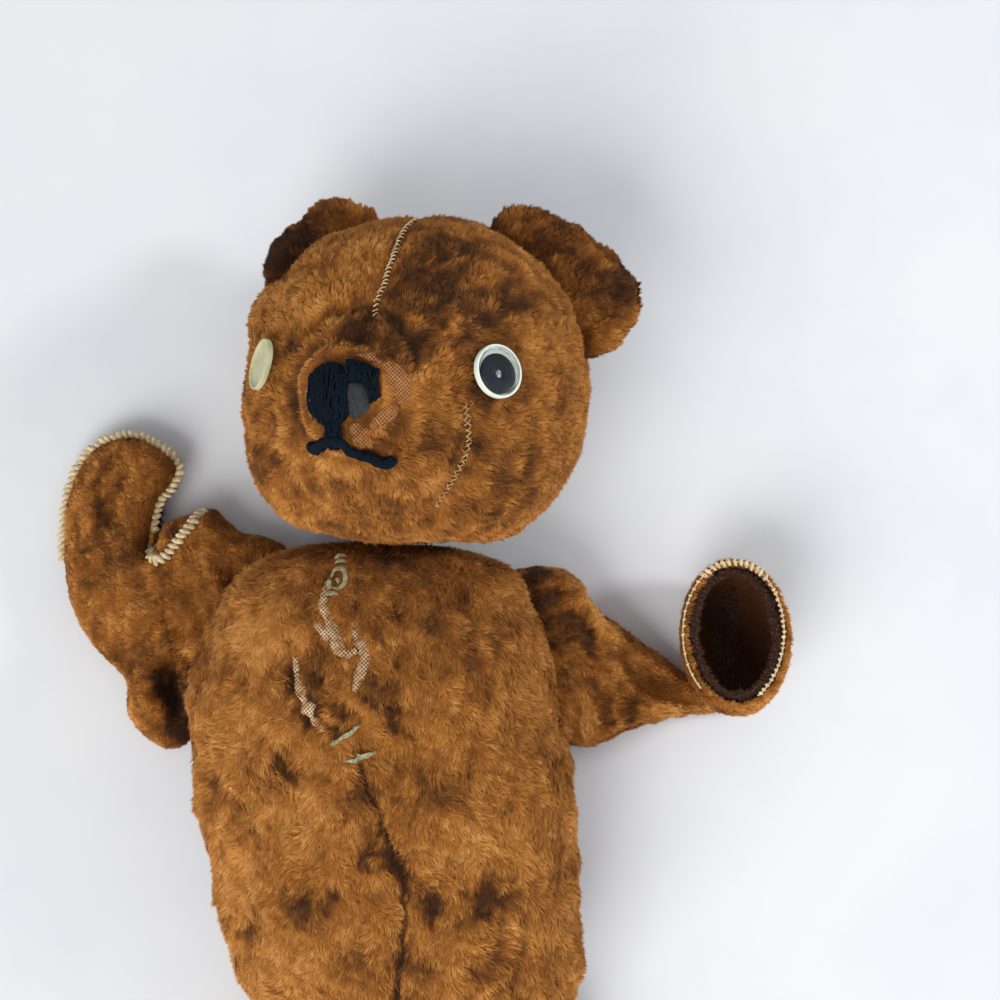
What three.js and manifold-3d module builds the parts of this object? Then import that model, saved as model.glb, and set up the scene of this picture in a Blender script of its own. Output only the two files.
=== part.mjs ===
// A threadbare teddy bear, lying on its back. Millimetres, +Z up, +Y towards the top of the head.
// "Left" and "right" are the bear's own: its left side is +X.
import * as THREE from 'three';
import { mergeVertices } from 'three/addons/utils/BufferGeometryUtils.js';
import Module from 'manifold-3d';

const wasm = await Module();
wasm.setup();

// ---------------------------------------------------------------- driving dimensions
const SKIN = 3; // plush: woven backing and flattened pile
const GAP = 0.3; // between pieces that are sewn or pressed together
const THREAD = 1.6; // how far embroidery and repair threads stand off the pile

const HEAD = {
  centre: new THREE.Vector3(-28.5, 41, 50),
  turn: -16, // degrees about the bear's long axis, face towards its right
  halfWidth: 60.5,
  halfHeight: 57,
  depthFront: 51,
  depthBack: 53,
  crownFullness: 2.2, // exponents of the outline: 2 is an ellipse, more is squarer
  jawFullness: 2.9,
  muzzleReach: 15,
  muzzleSpread: 19,
  muzzleDrop: 11,
  seam: 2, // the crown seam, off the middle line
};
const BODY = {
  neckY: -13,
  seatY: -203,
  halfWidth: 68,
  halfDepth: 43,
  leanStartY: -45, // below this the body leans towards the bear's left
  lean: 13 / 112 ** 2,
  axisX: -44.5,
  backFlattened: 5, // how far the weight of the body flattens its back
  chestFullness: 3.3,
  seatFullness: 2.7,
  girthFullness: 2.25,
};
const EYE = { radius: 8.5, rim: 1, thick: 2, domeHeight: 3.4, wall: 0.6, pupilRadius: 6.3, pupilThick: 0.5 };
const EAR = { halfWidth: 31, height: 35, cloth: 2.6, cup: 5 };
const LEG = {
  length: 128,
  hipHalfWidth: 27,
  ankleHalfWidth: 20,
  hipHeight: 50,
  ankleHeight: 40,
  footHeight: 66,
  soleInset: 6, // from the rounded end of the foot to its flat sole
  soleShrunk: 0.94,
};
const SOLE_PAD = 2.5;
const PAD = 2.2; // paw pad cloth
const EDGING = 1.5; // half-thickness of the whipstitched edging

const PLUSH = { color: 0x9a5c28, roughness: 1, metalness: 0 };
const PLUSH_DARK = { color: 0x4f2e18, roughness: 1, metalness: 0 };
const PAD_CLOTH = { color: 0x28130b, roughness: 0.95, metalness: 0 };
const STUFFING = { color: 0xcbb68c, roughness: 1, metalness: 0 };
const CREAM_THREAD = { color: 0xd8c48f, roughness: 0.85, metalness: 0 };
const TAN_THREAD = { color: 0xb9a06c, roughness: 0.85, metalness: 0 };
const GREEN_THREAD = { color: 0x97a070, roughness: 0.8, metalness: 0 };
const NAVY_WOOL = { color: 0x101c26, roughness: 0.9, metalness: 0 };
const GREY_FELT = { color: 0x3a3d3e, roughness: 1, metalness: 0 };
const EYE_CREAM = { color: 0xdfe2d2, roughness: 0.35, metalness: 0 };
const EYE_OLIVE = { color: 0xb2af82, roughness: 0.45, metalness: 0 };
const EYE_BLACK = { color: 0x101a24, roughness: 0.2, metalness: 0 };
const EYE_CLEAR = { color: 0xf2f6f8, roughness: 0.05, metalness: 0 };

// ---------------------------------------------------------------- helpers
const radians = THREE.MathUtils.degToRad;
const signedPower = (value, power) => Math.sign(value) * Math.abs(value) ** power;

// A closed three.js geometry becomes a solid that can be cut and joined.
function solidOf(geometry) {
  const bare = geometry.clone();
  bare.deleteAttribute('normal');
  bare.deleteAttribute('uv');
  const merged = mergeVertices(bare, 1e-4);
  const triVerts = new Uint32Array(merged.index.array);
  const vertProperties = new Float32Array(merged.attributes.position.array);
  return new wasm.Manifold(new wasm.Mesh({ numProp: 3, vertProperties, triVerts }));
}

function geometryOf(solid) {
  const mesh = solid.getMesh();
  const geometry = new THREE.BufferGeometry();
  geometry.setAttribute('position', new THREE.BufferAttribute(new Float32Array(mesh.vertProperties), 3));
  geometry.setIndex(new THREE.BufferAttribute(new Uint32Array(mesh.triVerts), 1));
  geometry.computeVertexNormals();
  return geometry;
}

// A geometry whose points are moved one by one.
function shaped(geometry, move) {
  const place = geometry.attributes.position;
  const point = new THREE.Vector3();
  for (let i = 0; i < place.count; i += 1) {
    point.fromBufferAttribute(place, i);
    const moved = move(point);
    place.setXYZ(i, moved.x, moved.y, moved.z);
  }
  return geometry;
}

// A stuffed form: rings from its top pole (+Y) to its bottom pole. along is the angle from the pole and
// around the angle in the ring, 0 at +X and a quarter turn at +Z.
function stuffedForm(segments, rings, place) {
  const sphere = new THREE.SphereGeometry(1, segments, rings);
  return shaped(sphere, (p) => {
    const along = Math.acos(THREE.MathUtils.clamp(p.y, -1, 1));
    const around = Math.atan2(p.z, p.x);
    return place(along, around);
  });
}

// A prism along Z from an outline of points, joined by a smooth closed curve unless it is straight.
function prism(points, low, high, straight = false) {
  const corners = points.map(([x, y]) => new THREE.Vector2(x, y));
  const curve = new THREE.CatmullRomCurve3(points.map(([x, y]) => new THREE.Vector3(x, y, 0)), true);
  const outline = straight ? corners : curve.getSpacedPoints(40).slice(0, 40);
  const shape = new THREE.Shape(outline.map((p) => new THREE.Vector2(p.x, p.y)));
  const geometry = new THREE.ExtrudeGeometry(shape, { depth: high - low, bevelEnabled: false });
  return solidOf(geometry.translate(0, 0, low));
}

// A strip of one width along a line of points, as a prism.
function stripPrism(points, width, low, high) {
  const curve = new THREE.CatmullRomCurve3(points.map(([x, y]) => new THREE.Vector3(x, y, 0)));
  const steps = 5 * points.length;
  const left = [];
  const right = [];
  for (let i = 0; i <= steps; i += 1) {
    const p = curve.getPoint(i / steps);
    const t = curve.getTangent(i / steps);
    left.push([p.x - (t.y * width) / 2, p.y + (t.x * width) / 2]);
    right.push([p.x + (t.y * width) / 2, p.y - (t.x * width) / 2]);
  }
  return prism([...left, ...right.reverse()], low, high, true);
}

const bear = new THREE.Group();
function add(parent, name, geometry, look) {
  const mesh = new THREE.Mesh(geometry, new THREE.MeshStandardMaterial(look));
  mesh.name = name;
  parent.add(mesh);
  return mesh;
}

const REACH = 900; // wider than the bear, for solids that only cut
const slabBelow = (z) => solidOf(new THREE.BoxGeometry(REACH, REACH, REACH).translate(0, 0, z - REACH / 2));

// The ground under the bear: everything that would sink into it is flattened.
const ground = slabBelow(0);

// ---------------------------------------------------------------- head form, in the head's own frame
const headFrame = new THREE.Group();
headFrame.position.copy(HEAD.centre);
headFrame.rotation.y = radians(HEAD.turn);
headFrame.updateMatrixWorld(true);
bear.add(headFrame);

function headPoint(along, around, grow) {
  const fullness = along < Math.PI / 2 ? HEAD.crownFullness : HEAD.jawFullness;
  const height = signedPower(Math.cos(along), 2 / fullness);
  const girth = Math.sin(along) ** (2 / fullness);
  const depth = (Math.sin(around) > 0 ? HEAD.depthFront : HEAD.depthBack) + grow;
  const p = new THREE.Vector3(
    (HEAD.halfWidth + grow) * girth * signedPower(Math.cos(around), 0.95),
    (HEAD.halfHeight + grow) * height,
    depth * girth * signedPower(Math.sin(around), 0.95),
  );
  const fromMuzzle = (p.x ** 2 + (p.y + HEAD.muzzleDrop) ** 2) / HEAD.muzzleSpread ** 2;
  p.z += p.z > 0 ? HEAD.muzzleReach * Math.exp(-fromMuzzle) * Math.min(1, p.z / 25) : 0;
  return p;
}
// Inner faces have fewer facets than the pile outside.
const facets = (grow) => (grow < 0 ? [18, 12] : [26, 18]);
const headForm = (grow) => solidOf(stuffedForm(...facets(grow), (a, b) => headPoint(a, b, grow)));
// The ground in the head's frame, raised by a height.
const headGround = (raise) => ground.translate([0, 0, raise])
  .transform([...headFrame.matrixWorld.clone().invert().elements]);
const headSkin = headForm(0).subtract(headForm(-SKIN).subtract(headGround(SKIN))).subtract(headGround(0));
const headInside = headForm(-SKIN - GAP).subtract(headGround(SKIN + GAP));

const MUZZLE_OUTLINE = [[0, 15], [17, 9], [28, -5], [31, -26], [25, -46], [12, -64], [-12, -64], [-25, -46],
  [-31, -26], [-28, -5], [-17, 9]];
const grownOutline = (points, by) => points.map(([x, y]) => {
  const length = Math.hypot(x, y + 24);
  return [x * (1 + by / length), -24 + (y + 24) * (1 + by / length)];
});
const MUZZLE_LOW = 5; // the muzzle piece starts in front of the middle of the head
const muzzleCut = prism(MUZZLE_OUTLINE, MUZZLE_LOW, REACH / 2);
const muzzleCutWide = prism(grownOutline(MUZZLE_OUTLINE, GAP * 1.5), MUZZLE_LOW - GAP, REACH / 2);
const halfSpace = (middle) => solidOf(new THREE.BoxGeometry(REACH, REACH, REACH).translate(middle, 0, 0));
const leftOf = (x) => halfSpace(x + (REACH + GAP) / 2);
const rightOf = (x) => halfSpace(x - (REACH + GAP) / 2);
const headSides = headSkin.subtract(muzzleCutWide);

function makeHead() {
  add(headFrame, 'head_left_panel', geometryOf(headSides.intersect(leftOf(HEAD.seam))), PLUSH);
  add(headFrame, 'head_right_panel', geometryOf(headSides.intersect(rightOf(HEAD.seam))), PLUSH);
  add(headFrame, 'head_muzzle_panel', geometryOf(headSkin.intersect(muzzleCut)), PLUSH);
  add(headFrame, 'head_stuffing', geometryOf(headInside), STUFFING);
}

// ---------------------------------------------------------------- threads and wool on the face
const faceLayer = (low, high) => headForm(high).subtract(headForm(low));
const faceFront = solidOf(new THREE.BoxGeometry(REACH, REACH, REACH).translate(0, 0, REACH / 2));
const NOSE_OUTLINE = [[-10, -1], [-4, 2], [4, 1], [10, -3], [10.5, -8], [7.5, -13], [3, -17], [-3, -20],
  [-8.5, -18], [-12, -12], [-12, -5]];
const FELT_OUTLINE = [[-1, -6], [4, -4.5], [8, -7], [7, -12], [2, -14.5], [-1.5, -12]];
const FELT_MIDDLE = [3, -9.5];
const MOUTH_LINE = [[-12, -25.5], [-6.5, -25], [-1.5, -23.5], [3, -26.5], [8.5, -30], [13.5, -30]];
const PHILTRUM_LINE = [[-2.5, -20.5], [-1.8, -24.5]];
const CHEEK_SEAM = [[31, -11], [32.5, -24], [30, -33], [25, -43]];
const MOUTH_WIDTH = 2.6;
const CHEEK_WIDTH = 2.2;
const CROWN_STITCHES = { width: 3.4, length: 34, middleY: 38 };
const FELT_SHRUNK = 0.9; // the felt lies clear of the wool round it
const FACE_HIGH = 120; // above every point of the face

function makeFace() {
  const wool = faceLayer(GAP, GAP + THREAD).intersect(faceFront);
  const nose = wool.intersect(prism(NOSE_OUTLINE, 0, FACE_HIGH));
  add(headFrame, 'nose_embroidery', geometryOf(nose.subtract(prism(FELT_OUTLINE, 0, FACE_HIGH))), NAVY_WOOL);
  const [midX, midY] = FELT_MIDDLE;
  const feltOutline = FELT_OUTLINE.map(([x, y]) => [
    midX + (x - midX) * FELT_SHRUNK,
    midY + (y - midY) * FELT_SHRUNK,
  ]);
  const feltLayer = faceLayer(GAP, GAP + THREAD / 2).intersect(faceFront);
  const felt = feltLayer.intersect(prism(feltOutline, 0, FACE_HIGH));
  add(headFrame, 'nose_felt_patch', geometryOf(felt), GREY_FELT);
  const mouth = stripPrism(MOUTH_LINE, MOUTH_WIDTH, 0, FACE_HIGH)
    .add(stripPrism(PHILTRUM_LINE, MOUTH_WIDTH, 0, FACE_HIGH));
  add(headFrame, 'mouth_stitch', geometryOf(wool.intersect(mouth)), NAVY_WOOL);
  const { width, length, middleY } = CROWN_STITCHES;
  const crownBox = new THREE.BoxGeometry(width, length, FACE_HIGH);
  crownBox.translate(HEAD.seam, middleY, FACE_HIGH / 2);
  const crown = solidOf(crownBox);
  add(headFrame, 'crown_seam_thread', geometryOf(wool.intersect(crown)), CREAM_THREAD);
  const cheek = stripPrism(CHEEK_SEAM, CHEEK_WIDTH, 0, FACE_HIGH);
  add(headFrame, 'cheek_seam_thread', geometryOf(wool.intersect(cheek)), TAN_THREAD);
}

// ---------------------------------------------------------------- eyes
// A disc turned about Z: radius and height pairs, starting and ending on the axis.
function turned(profile) {
  const points = profile.map(([r, z]) => new THREE.Vector2(r, z));
  return solidOf(new THREE.LatheGeometry(points, 22).rotateX(Math.PI / 2));
}
// Profiles run from the back of the disc to its front.
function eyeCase() {
  const { radius, rim, thick, wall } = EYE;
  return turned([[0, 0], [radius - 0.6, 0], [radius, 0.5], [radius, thick], [radius - rim, thick],
    [radius - rim, wall], [0, wall]]);
}
function eyeLens() {
  const { radius, rim, domeHeight, wall } = EYE;
  const outer = radius - rim - GAP;
  const points = [];
  const steps = 4;
  for (let i = 0; i <= steps; i += 1) {
    const a = (i / steps) * (Math.PI / 2);
    points.push([outer * Math.cos(a), 1.6 + (domeHeight - 1.6) * Math.sin(a)]);
  }
  const inner = points.map(([r, z]) => [r * (1 - wall / outer), z - wall]).reverse();
  inner[0][0] = 0;
  points[steps][0] = 0;
  return turned([...inner, ...points]);
}
function eyePupil() {
  const { pupilRadius, pupilThick } = EYE;
  return turned([[0, 0], [pupilRadius, 0], [pupilRadius, pupilThick], [0, pupilThick]]);
}

// An eye stands on the face, its back on the pile: where it is, and where it looks, are angles to the face's
// middle line, and height is above the middle of the head.
const EYE_LIFT = 1.6;
function eyeFrame(place, facing, height) {
  const frame = new THREE.Group();
  const fullness = height > 0 ? HEAD.crownFullness : HEAD.jawFullness;
  const along = Math.acos(signedPower(height / HEAD.halfHeight, fullness / 2));
  frame.position.copy(headPoint(along, radians(90 - place), EYE_LIFT));
  frame.rotation.set(0, radians(facing), 0);
  headFrame.add(frame);
  return frame;
}

function makeEyes() {
  const left = eyeFrame(40, 47, -1.5);
  add(left, 'left_eye_case', geometryOf(eyeCase()), EYE_CREAM);
  const pupil = add(left, 'left_eye_pupil', geometryOf(eyePupil()), EYE_BLACK);
  pupil.position.set(0.2, -0.8, EYE.wall + GAP);
  const lens = add(left, 'left_eye_lens', geometryOf(eyeLens()), EYE_CLEAR);
  lens.position.z = 0.6;
  const right = eyeFrame(-37.5, -40, 2.5);
  add(right, 'right_eye_case', geometryOf(eyeCase()), EYE_OLIVE);
}

// ---------------------------------------------------------------- ears
// One cloth of an ear: a cupped disc whose root half ends at the head.
function earCloth(layer, frame) {
  const disc = shaped(new THREE.SphereGeometry(1, 20, 10), (p) => {
    const reach = p.x ** 2 + p.y ** 2;
    const flat = signedPower(p.z, 0.5) * (EAR.cloth / 2);
    const bowed = flat + layer * (EAR.cloth + GAP) / 2 + EAR.cup * reach;
    return p.set(p.x * EAR.halfWidth, p.y * EAR.height, bowed);
  });
  frame.updateMatrix();
  return solidOf(disc.applyMatrix4(frame.matrix)).subtract(headForm(GAP + SKIN / 3)).subtract(headGround(0));
}

function makeEars() {
  const left = new THREE.Group();
  left.position.set(45, 28, -2);
  left.rotation.set(radians(-6), radians(34), radians(-50));
  add(headFrame, 'left_ear_front', geometryOf(earCloth(1, left)), PLUSH_DARK);
  add(headFrame, 'left_ear_back', geometryOf(earCloth(-1, left)), PLUSH_DARK);
  const right = new THREE.Group();
  right.position.set(-42, 42, -4);
  right.rotation.set(radians(-66), radians(0), radians(33), 'ZYX');
  add(headFrame, 'right_ear_front', geometryOf(earCloth(1, right)), PLUSH_DARK);
  add(headFrame, 'right_ear_back', geometryOf(earCloth(-1, right)), PLUSH_DARK);
}

// ---------------------------------------------------------------- body
const bodyAxis = (y) => BODY.axisX + BODY.lean * Math.min(0, y - BODY.leanStartY) ** 2;
function bodyPoint(along, around, grow) {
  const fullness = along < Math.PI / 2 ? BODY.chestFullness : BODY.seatFullness;
  const halfLength = (BODY.neckY - BODY.seatY) / 2;
  const middle = (BODY.neckY + BODY.seatY) / 2;
  const y = middle + (halfLength + grow) * signedPower(Math.cos(along), 2 / fullness);
  const girth = Math.sin(along) ** (2 / fullness);
  const power = 2 / BODY.girthFullness;
  const middleZ = BODY.halfDepth - BODY.backFlattened;
  return new THREE.Vector3(
    bodyAxis(y) + (BODY.halfWidth + grow) * girth * signedPower(Math.cos(around), power),
    y,
    middleZ + (BODY.halfDepth + grow) * girth * signedPower(Math.sin(around), power),
  );
}
const bodyForm = (grow) => solidOf(stuffedForm(...facets(grow), (a, b) => bodyPoint(a, b, grow)));
const headInRow = (grow) => headForm(grow).transform([...headFrame.matrixWorld.elements]);
const bodyLimit = ground.add(headInRow(GAP));

// Everything on the bear's left of the centre seam, less half the gap; side is 1 for left, -1 for right.
function bodySide(side) {
  const line = [];
  for (let y = 20; y >= -220; y -= 12) line.push([bodyAxis(y) + (side * GAP) / 2, y]);
  return prism([...line, [side * REACH, -220], [side * REACH, 20]], -10, REACH / 2, true);
}

const REPAIR_WIDTH = 2.4;
const CHEST_REPAIRS = {
  chest_repair_top: [[-53, -26], [-48, -25], [-48, -28.5], [-53, -29.5]],
  chest_repair_middle: [[-54, -80], [-49.5, -76], [-45, -74]],
  chest_repair_low: [[-51, -84], [-46, -83], [-40, -80.5]],
};

function makeBody() {
  const closed = bodyForm(0).subtract(bodyLimit);
  const inner = bodyForm(-SKIN).subtract(slabBelow(SKIN)).subtract(headInRow(GAP + SKIN));
  const walls = closed.subtract(inner);
  const stuffing = bodyForm(-SKIN - GAP).subtract(slabBelow(SKIN + GAP)).subtract(headInRow(SKIN + 2 * GAP));
  add(bear, 'body_left_panel', geometryOf(walls.intersect(bodySide(1))), PLUSH);
  add(bear, 'body_right_panel', geometryOf(walls.intersect(bodySide(-1))), PLUSH);
  add(bear, 'body_stuffing', geometryOf(stuffing), STUFFING);
  const layer = bodyForm(GAP + THREAD).subtract(bodyForm(GAP));
  for (const [name, line] of Object.entries(CHEST_REPAIRS)) {
    const cut = stripPrism(line, REPAIR_WIDTH, BODY.halfDepth, REACH / 2);
    add(bear, name, geometryOf(layer.intersect(cut)), GREEN_THREAD);
  }
}

// ---------------------------------------------------------------- arms, empty sleeves of cloth
const bodyInWay = bodyForm(GAP);
const headInWay = headInRow(GAP);

// Half of an emptied sleeve, as a curved sheet of cloth. A station is a place on the middle line, the
// heading of the line across it, its half-width and its half-thickness. side is 1 for the upper cloth.
function sleeveCloth(stations, side) {
  const middle = new THREE.CatmullRomCurve3(stations.map(({ at }) => new THREE.Vector3(...at)));
  const girth = new THREE.CatmullRomCurve3(
    stations.map(({ across, halfWidth, halfThick }) => new THREE.Vector3(across, halfWidth, halfThick)),
  );
  const seam = 1.2;
  const box = new THREE.BoxGeometry(2, 1, 1, 8, 12, 1);
  return solidOf(shaped(box, (p) => {
    const t = p.y + 0.5;
    const at = middle.getPoint(t);
    const size = girth.getPoint(t);
    const swell = Math.sqrt(Math.max(0, 1 - p.x ** 2));
    const outerSide = p.z > 0 ? seam + (size.z - seam) * swell : (size.z - SKIN) * swell;
    return new THREE.Vector3(
      at.x + Math.cos(radians(size.x)) * size.y * p.x * side,
      at.y + Math.sin(radians(size.x)) * size.y * p.x * side,
      at.z + side * (GAP / 2 + outerSide),
    );
  }));
}

const LEFT_SLEEVE = [
  { at: [10, -57, 20], across: -66, halfWidth: 33, halfThick: 17 },
  { at: [31, -57, 18], across: -75, halfWidth: 31.5, halfThick: 16 },
  { at: [44, -64, 14], across: -82, halfWidth: 21, halfThick: 12.5 },
  { at: [55, -66.5, 12], across: -84, halfWidth: 16, halfThick: 11 },
  { at: [68, -71.5, 10.5], across: -86, halfWidth: 10, halfThick: 10 },
  { at: [84, -70, 10], across: -80, halfWidth: 8, halfThick: 9 },
  { at: [96, -64, 11], across: -60, halfWidth: 7, halfThick: 8 },
];
// The left paw is curled up into a cup: an egg cut off by a sloping rim.
const LEFT_PAW = { centre: [84, -49.2, 29.5], radii: [19.3, 27.8, 29], rimHeight: 8, rimSlope: [-18, -12] };
// The right arm is crumpled flat: a low dome of two cloths, with a deep notch where the paw turns up and a
// fold of cloth bulging out below.
const RIGHT_DOME = { centre: [-124, -30, 13.5], radii: [43, 58, 13.3] };
const SLEEVE_TOP = [[-80, -12], [-93, -16], [-101.5, -7.5], [-105.7, -3.7], [-109, -3.5]];
const NOTCH = [[-114, -10], [-123.5, -21], [-128, -20.5], [-129.5, -14.5], [-127, -1], [-122.5, 5]];
const PAW_EDGE = [[-120, 11.5], [-123.5, 16.5], [-130, 20.6], [-137.5, 22.8], [-147, 21], [-156, 13],
  [-161, -2], [-161.5, -22]];
const SLEEVE_RIDGE = [[-158, -40], [-150, -58], [-142, -66], [-135, -65.5], [-127, -56.5], [-111.5, -46],
  [-88, -40]];
const SLEEVE_FOLD = { centre: [-126, -73, 12.5], radii: [14.5, 20, 12] };
const PAD_MIDDLE = [-141, -2];
const PAD_CLEAR = 0.03; // how much wider than the pad its opening is, as a share of its size
const PAD_OUTLINE = [[-129.5, -14.5], [-127, -1], [-122.5, 5], ...PAW_EDGE.slice(0, 7), [-160, -20],
  [-150, -28], [-136, -26]];

function egg(paw, grow) {
  const [x, y, z] = paw.radii;
  const sphere = new THREE.SphereGeometry(1, 16, 10).scale(x + grow, y + grow, z + grow);
  return solidOf(sphere.translate(...paw.centre));
}

// What lies above the cup's sloping rim, raised by a height.
function rimPlane(raise) {
  const above = new THREE.BoxGeometry(200, 200, 100).translate(0, 0, 50 + LEFT_PAW.rimHeight + raise);
  const [tiltX, tiltY] = LEFT_PAW.rimSlope;
  above.rotateX(radians(tiltX)).rotateY(radians(tiltY));
  return solidOf(above.translate(...LEFT_PAW.centre));
}

// The thread over the cup's rim, as one ring of oval section on the cut edge.
function rimRing() {
  const [x, y, z] = LEFT_PAW.radii;
  const shrink = Math.sqrt(1 - (LEFT_PAW.rimHeight / z) ** 2);
  const wall = (SKIN + GAP + PAD) / 2;
  const ring = shaped(new THREE.TorusGeometry(1, 0.1, 6, 36), (p) => {
    const angle = Math.atan2(p.y, p.x);
    const out = (Math.hypot(p.x, p.y) - 1) / 0.1;
    return new THREE.Vector3(
      Math.cos(angle) * (x * shrink - wall + out * wall),
      Math.sin(angle) * (y * shrink - wall + out * wall),
      LEFT_PAW.rimHeight + GAP + EDGING + (p.z / 0.1) * EDGING,
    );
  });
  const [tiltX, tiltY] = LEFT_PAW.rimSlope;
  return ring.rotateX(radians(tiltX)).rotateY(radians(tiltY)).translate(...LEFT_PAW.centre);
}

function makeLeftArm() {
  const inWay = bodyInWay.add(headInWay).add(ground);
  const upper = sleeveCloth(LEFT_SLEEVE, 1).subtract(inWay).subtract(egg(LEFT_PAW, GAP));
  add(bear, 'left_arm_inner_panel', geometryOf(upper), PLUSH);
  const cup = egg(LEFT_PAW, 0).subtract(egg(LEFT_PAW, -SKIN)).subtract(rimPlane(0));
  const upperInPaw = sleeveCloth(LEFT_SLEEVE, 1).intersect(egg(LEFT_PAW, GAP)).subtract(cup);
  const lower = sleeveCloth(LEFT_SLEEVE, -1).subtract(egg(LEFT_PAW, -SKIN)).add(cup)
    .subtract(inWay).subtract(upper.add(upperInPaw));
  add(bear, 'left_arm_outer_panel', geometryOf(lower), PLUSH);
  const pad = egg(LEFT_PAW, -SKIN - GAP).subtract(egg(LEFT_PAW, -SKIN - GAP - PAD)).subtract(rimPlane(0));
  add(bear, 'left_paw_pad', geometryOf(pad), PAD_CLOTH);
  add(bear, 'left_paw_edging', rimRing(), CREAM_THREAD);
}

function makeRightArm() {
  const inWay = bodyInWay.add(headInWay).add(ground);
  const shell = egg(RIGHT_DOME, 0).subtract(egg(RIGHT_DOME, -SKIN));
  const [, , seamZ] = RIGHT_DOME.centre;
  const below = slabBelow(seamZ - GAP / 2);
  const above = slabBelow(0).translate([0, 0, REACH + seamZ + GAP / 2]);
  const outline = prism([...SLEEVE_TOP, ...NOTCH, ...PAW_EDGE, ...SLEEVE_RIDGE], -5, 60, true);
  const upper = shell.intersect(above).intersect(outline).subtract(inWay);
  add(bear, 'right_arm_outer_panel', geometryOf(upper), PLUSH);
  const pad = shell.intersect(below).intersect(prism(PAD_OUTLINE, -5, 60, true)).subtract(ground);
  add(bear, 'right_paw_pad', geometryOf(pad), PAD_CLOTH);
  const [padX, padY] = PAD_MIDDLE;
  const clearOutline = PAD_OUTLINE.map(([x, y]) => [x + (x - padX) * PAD_CLEAR, y + (y - padY) * PAD_CLEAR]);
  const padClear = prism(clearOutline, -5, 60, true);
  const over = outline.add(outline.translate([GAP, -2 * GAP, 0])).intersect(above.translate([0, 0, -GAP]));
  const fold = egg(SLEEVE_FOLD, 0).subtract(over);
  const lower = shell.intersect(below).intersect(outline).subtract(padClear).add(fold).subtract(inWay);
  add(bear, 'right_arm_inner_panel', geometryOf(lower), PLUSH);
  const wholeEdge = [...SLEEVE_TOP.slice(4), ...NOTCH, ...PAW_EDGE];
  const path = wholeEdge.map(([x, y]) => new THREE.Vector3(x, y, seamZ));
  add(bear, 'right_paw_edging', edgingTube(path), CREAM_THREAD);
}

// A tube of thread along the outside of a cloth edge, clear of it by the gap.
function edgingTube(edge) {
  const away = EDGING + GAP + 0.4;
  const line = edge.map((p, i) => {
    const before = edge[Math.max(0, i - 1)];
    const after = edge[Math.min(edge.length - 1, i + 1)];
    const along = after.clone().sub(before).normalize();
    return new THREE.Vector3(p.x + along.y * away, p.y - along.x * away, p.z);
  });
  const sides = 7;
  const section = new THREE.Shape();
  for (let i = 0; i < sides; i += 1) {
    const angle = (2 * Math.PI * i) / sides;
    section[i === 0 ? 'moveTo' : 'lineTo'](EDGING * Math.cos(angle), EDGING * Math.sin(angle));
  }
  const extrudePath = new THREE.CatmullRomCurve3(line);
  return new THREE.ExtrudeGeometry(section, { steps: 2 * line.length, extrudePath, bevelEnabled: false });
}

// ---------------------------------------------------------------- legs, lying towards -Y, soles outwards
const LEGS = {
  left: { at: [4, -178], splay: 5 },
  right: { at: [-69, -172], splay: -7 },
};
const legHeight = (s) => LEG.ankleHeight + (LEG.hipHeight - LEG.ankleHeight) * Math.max(0, 1 - s / 60) ** 2
  + (LEG.footHeight - LEG.ankleHeight) * THREE.MathUtils.smoothstep(s, 70, 122);
const legHalfWidth = (s) => LEG.ankleHalfWidth
  + (LEG.hipHalfWidth - LEG.ankleHalfWidth) * Math.max(0, 1 - s / 80)
  + 4 * THREE.MathUtils.smoothstep(s, 80, 120);

function legPoint(along, around, grow) {
  const squareness = 3.4;
  const half = LEG.length / 2;
  const y = -half + (half + grow) * signedPower(Math.cos(along), 2 / squareness);
  const girth = Math.sin(along) ** (2 / squareness);
  const s = Math.min(LEG.length, Math.max(0, -y));
  const tall = legHeight(s) / 2;
  return new THREE.Vector3(
    (legHalfWidth(s) + grow) * girth * Math.cos(around),
    y,
    tall - 3 + (tall + grow) * girth * Math.sin(around),
  );
}
const legForm = (grow) => solidOf(stuffedForm(16, 14, (a, b) => legPoint(a, b, grow)));

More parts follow.
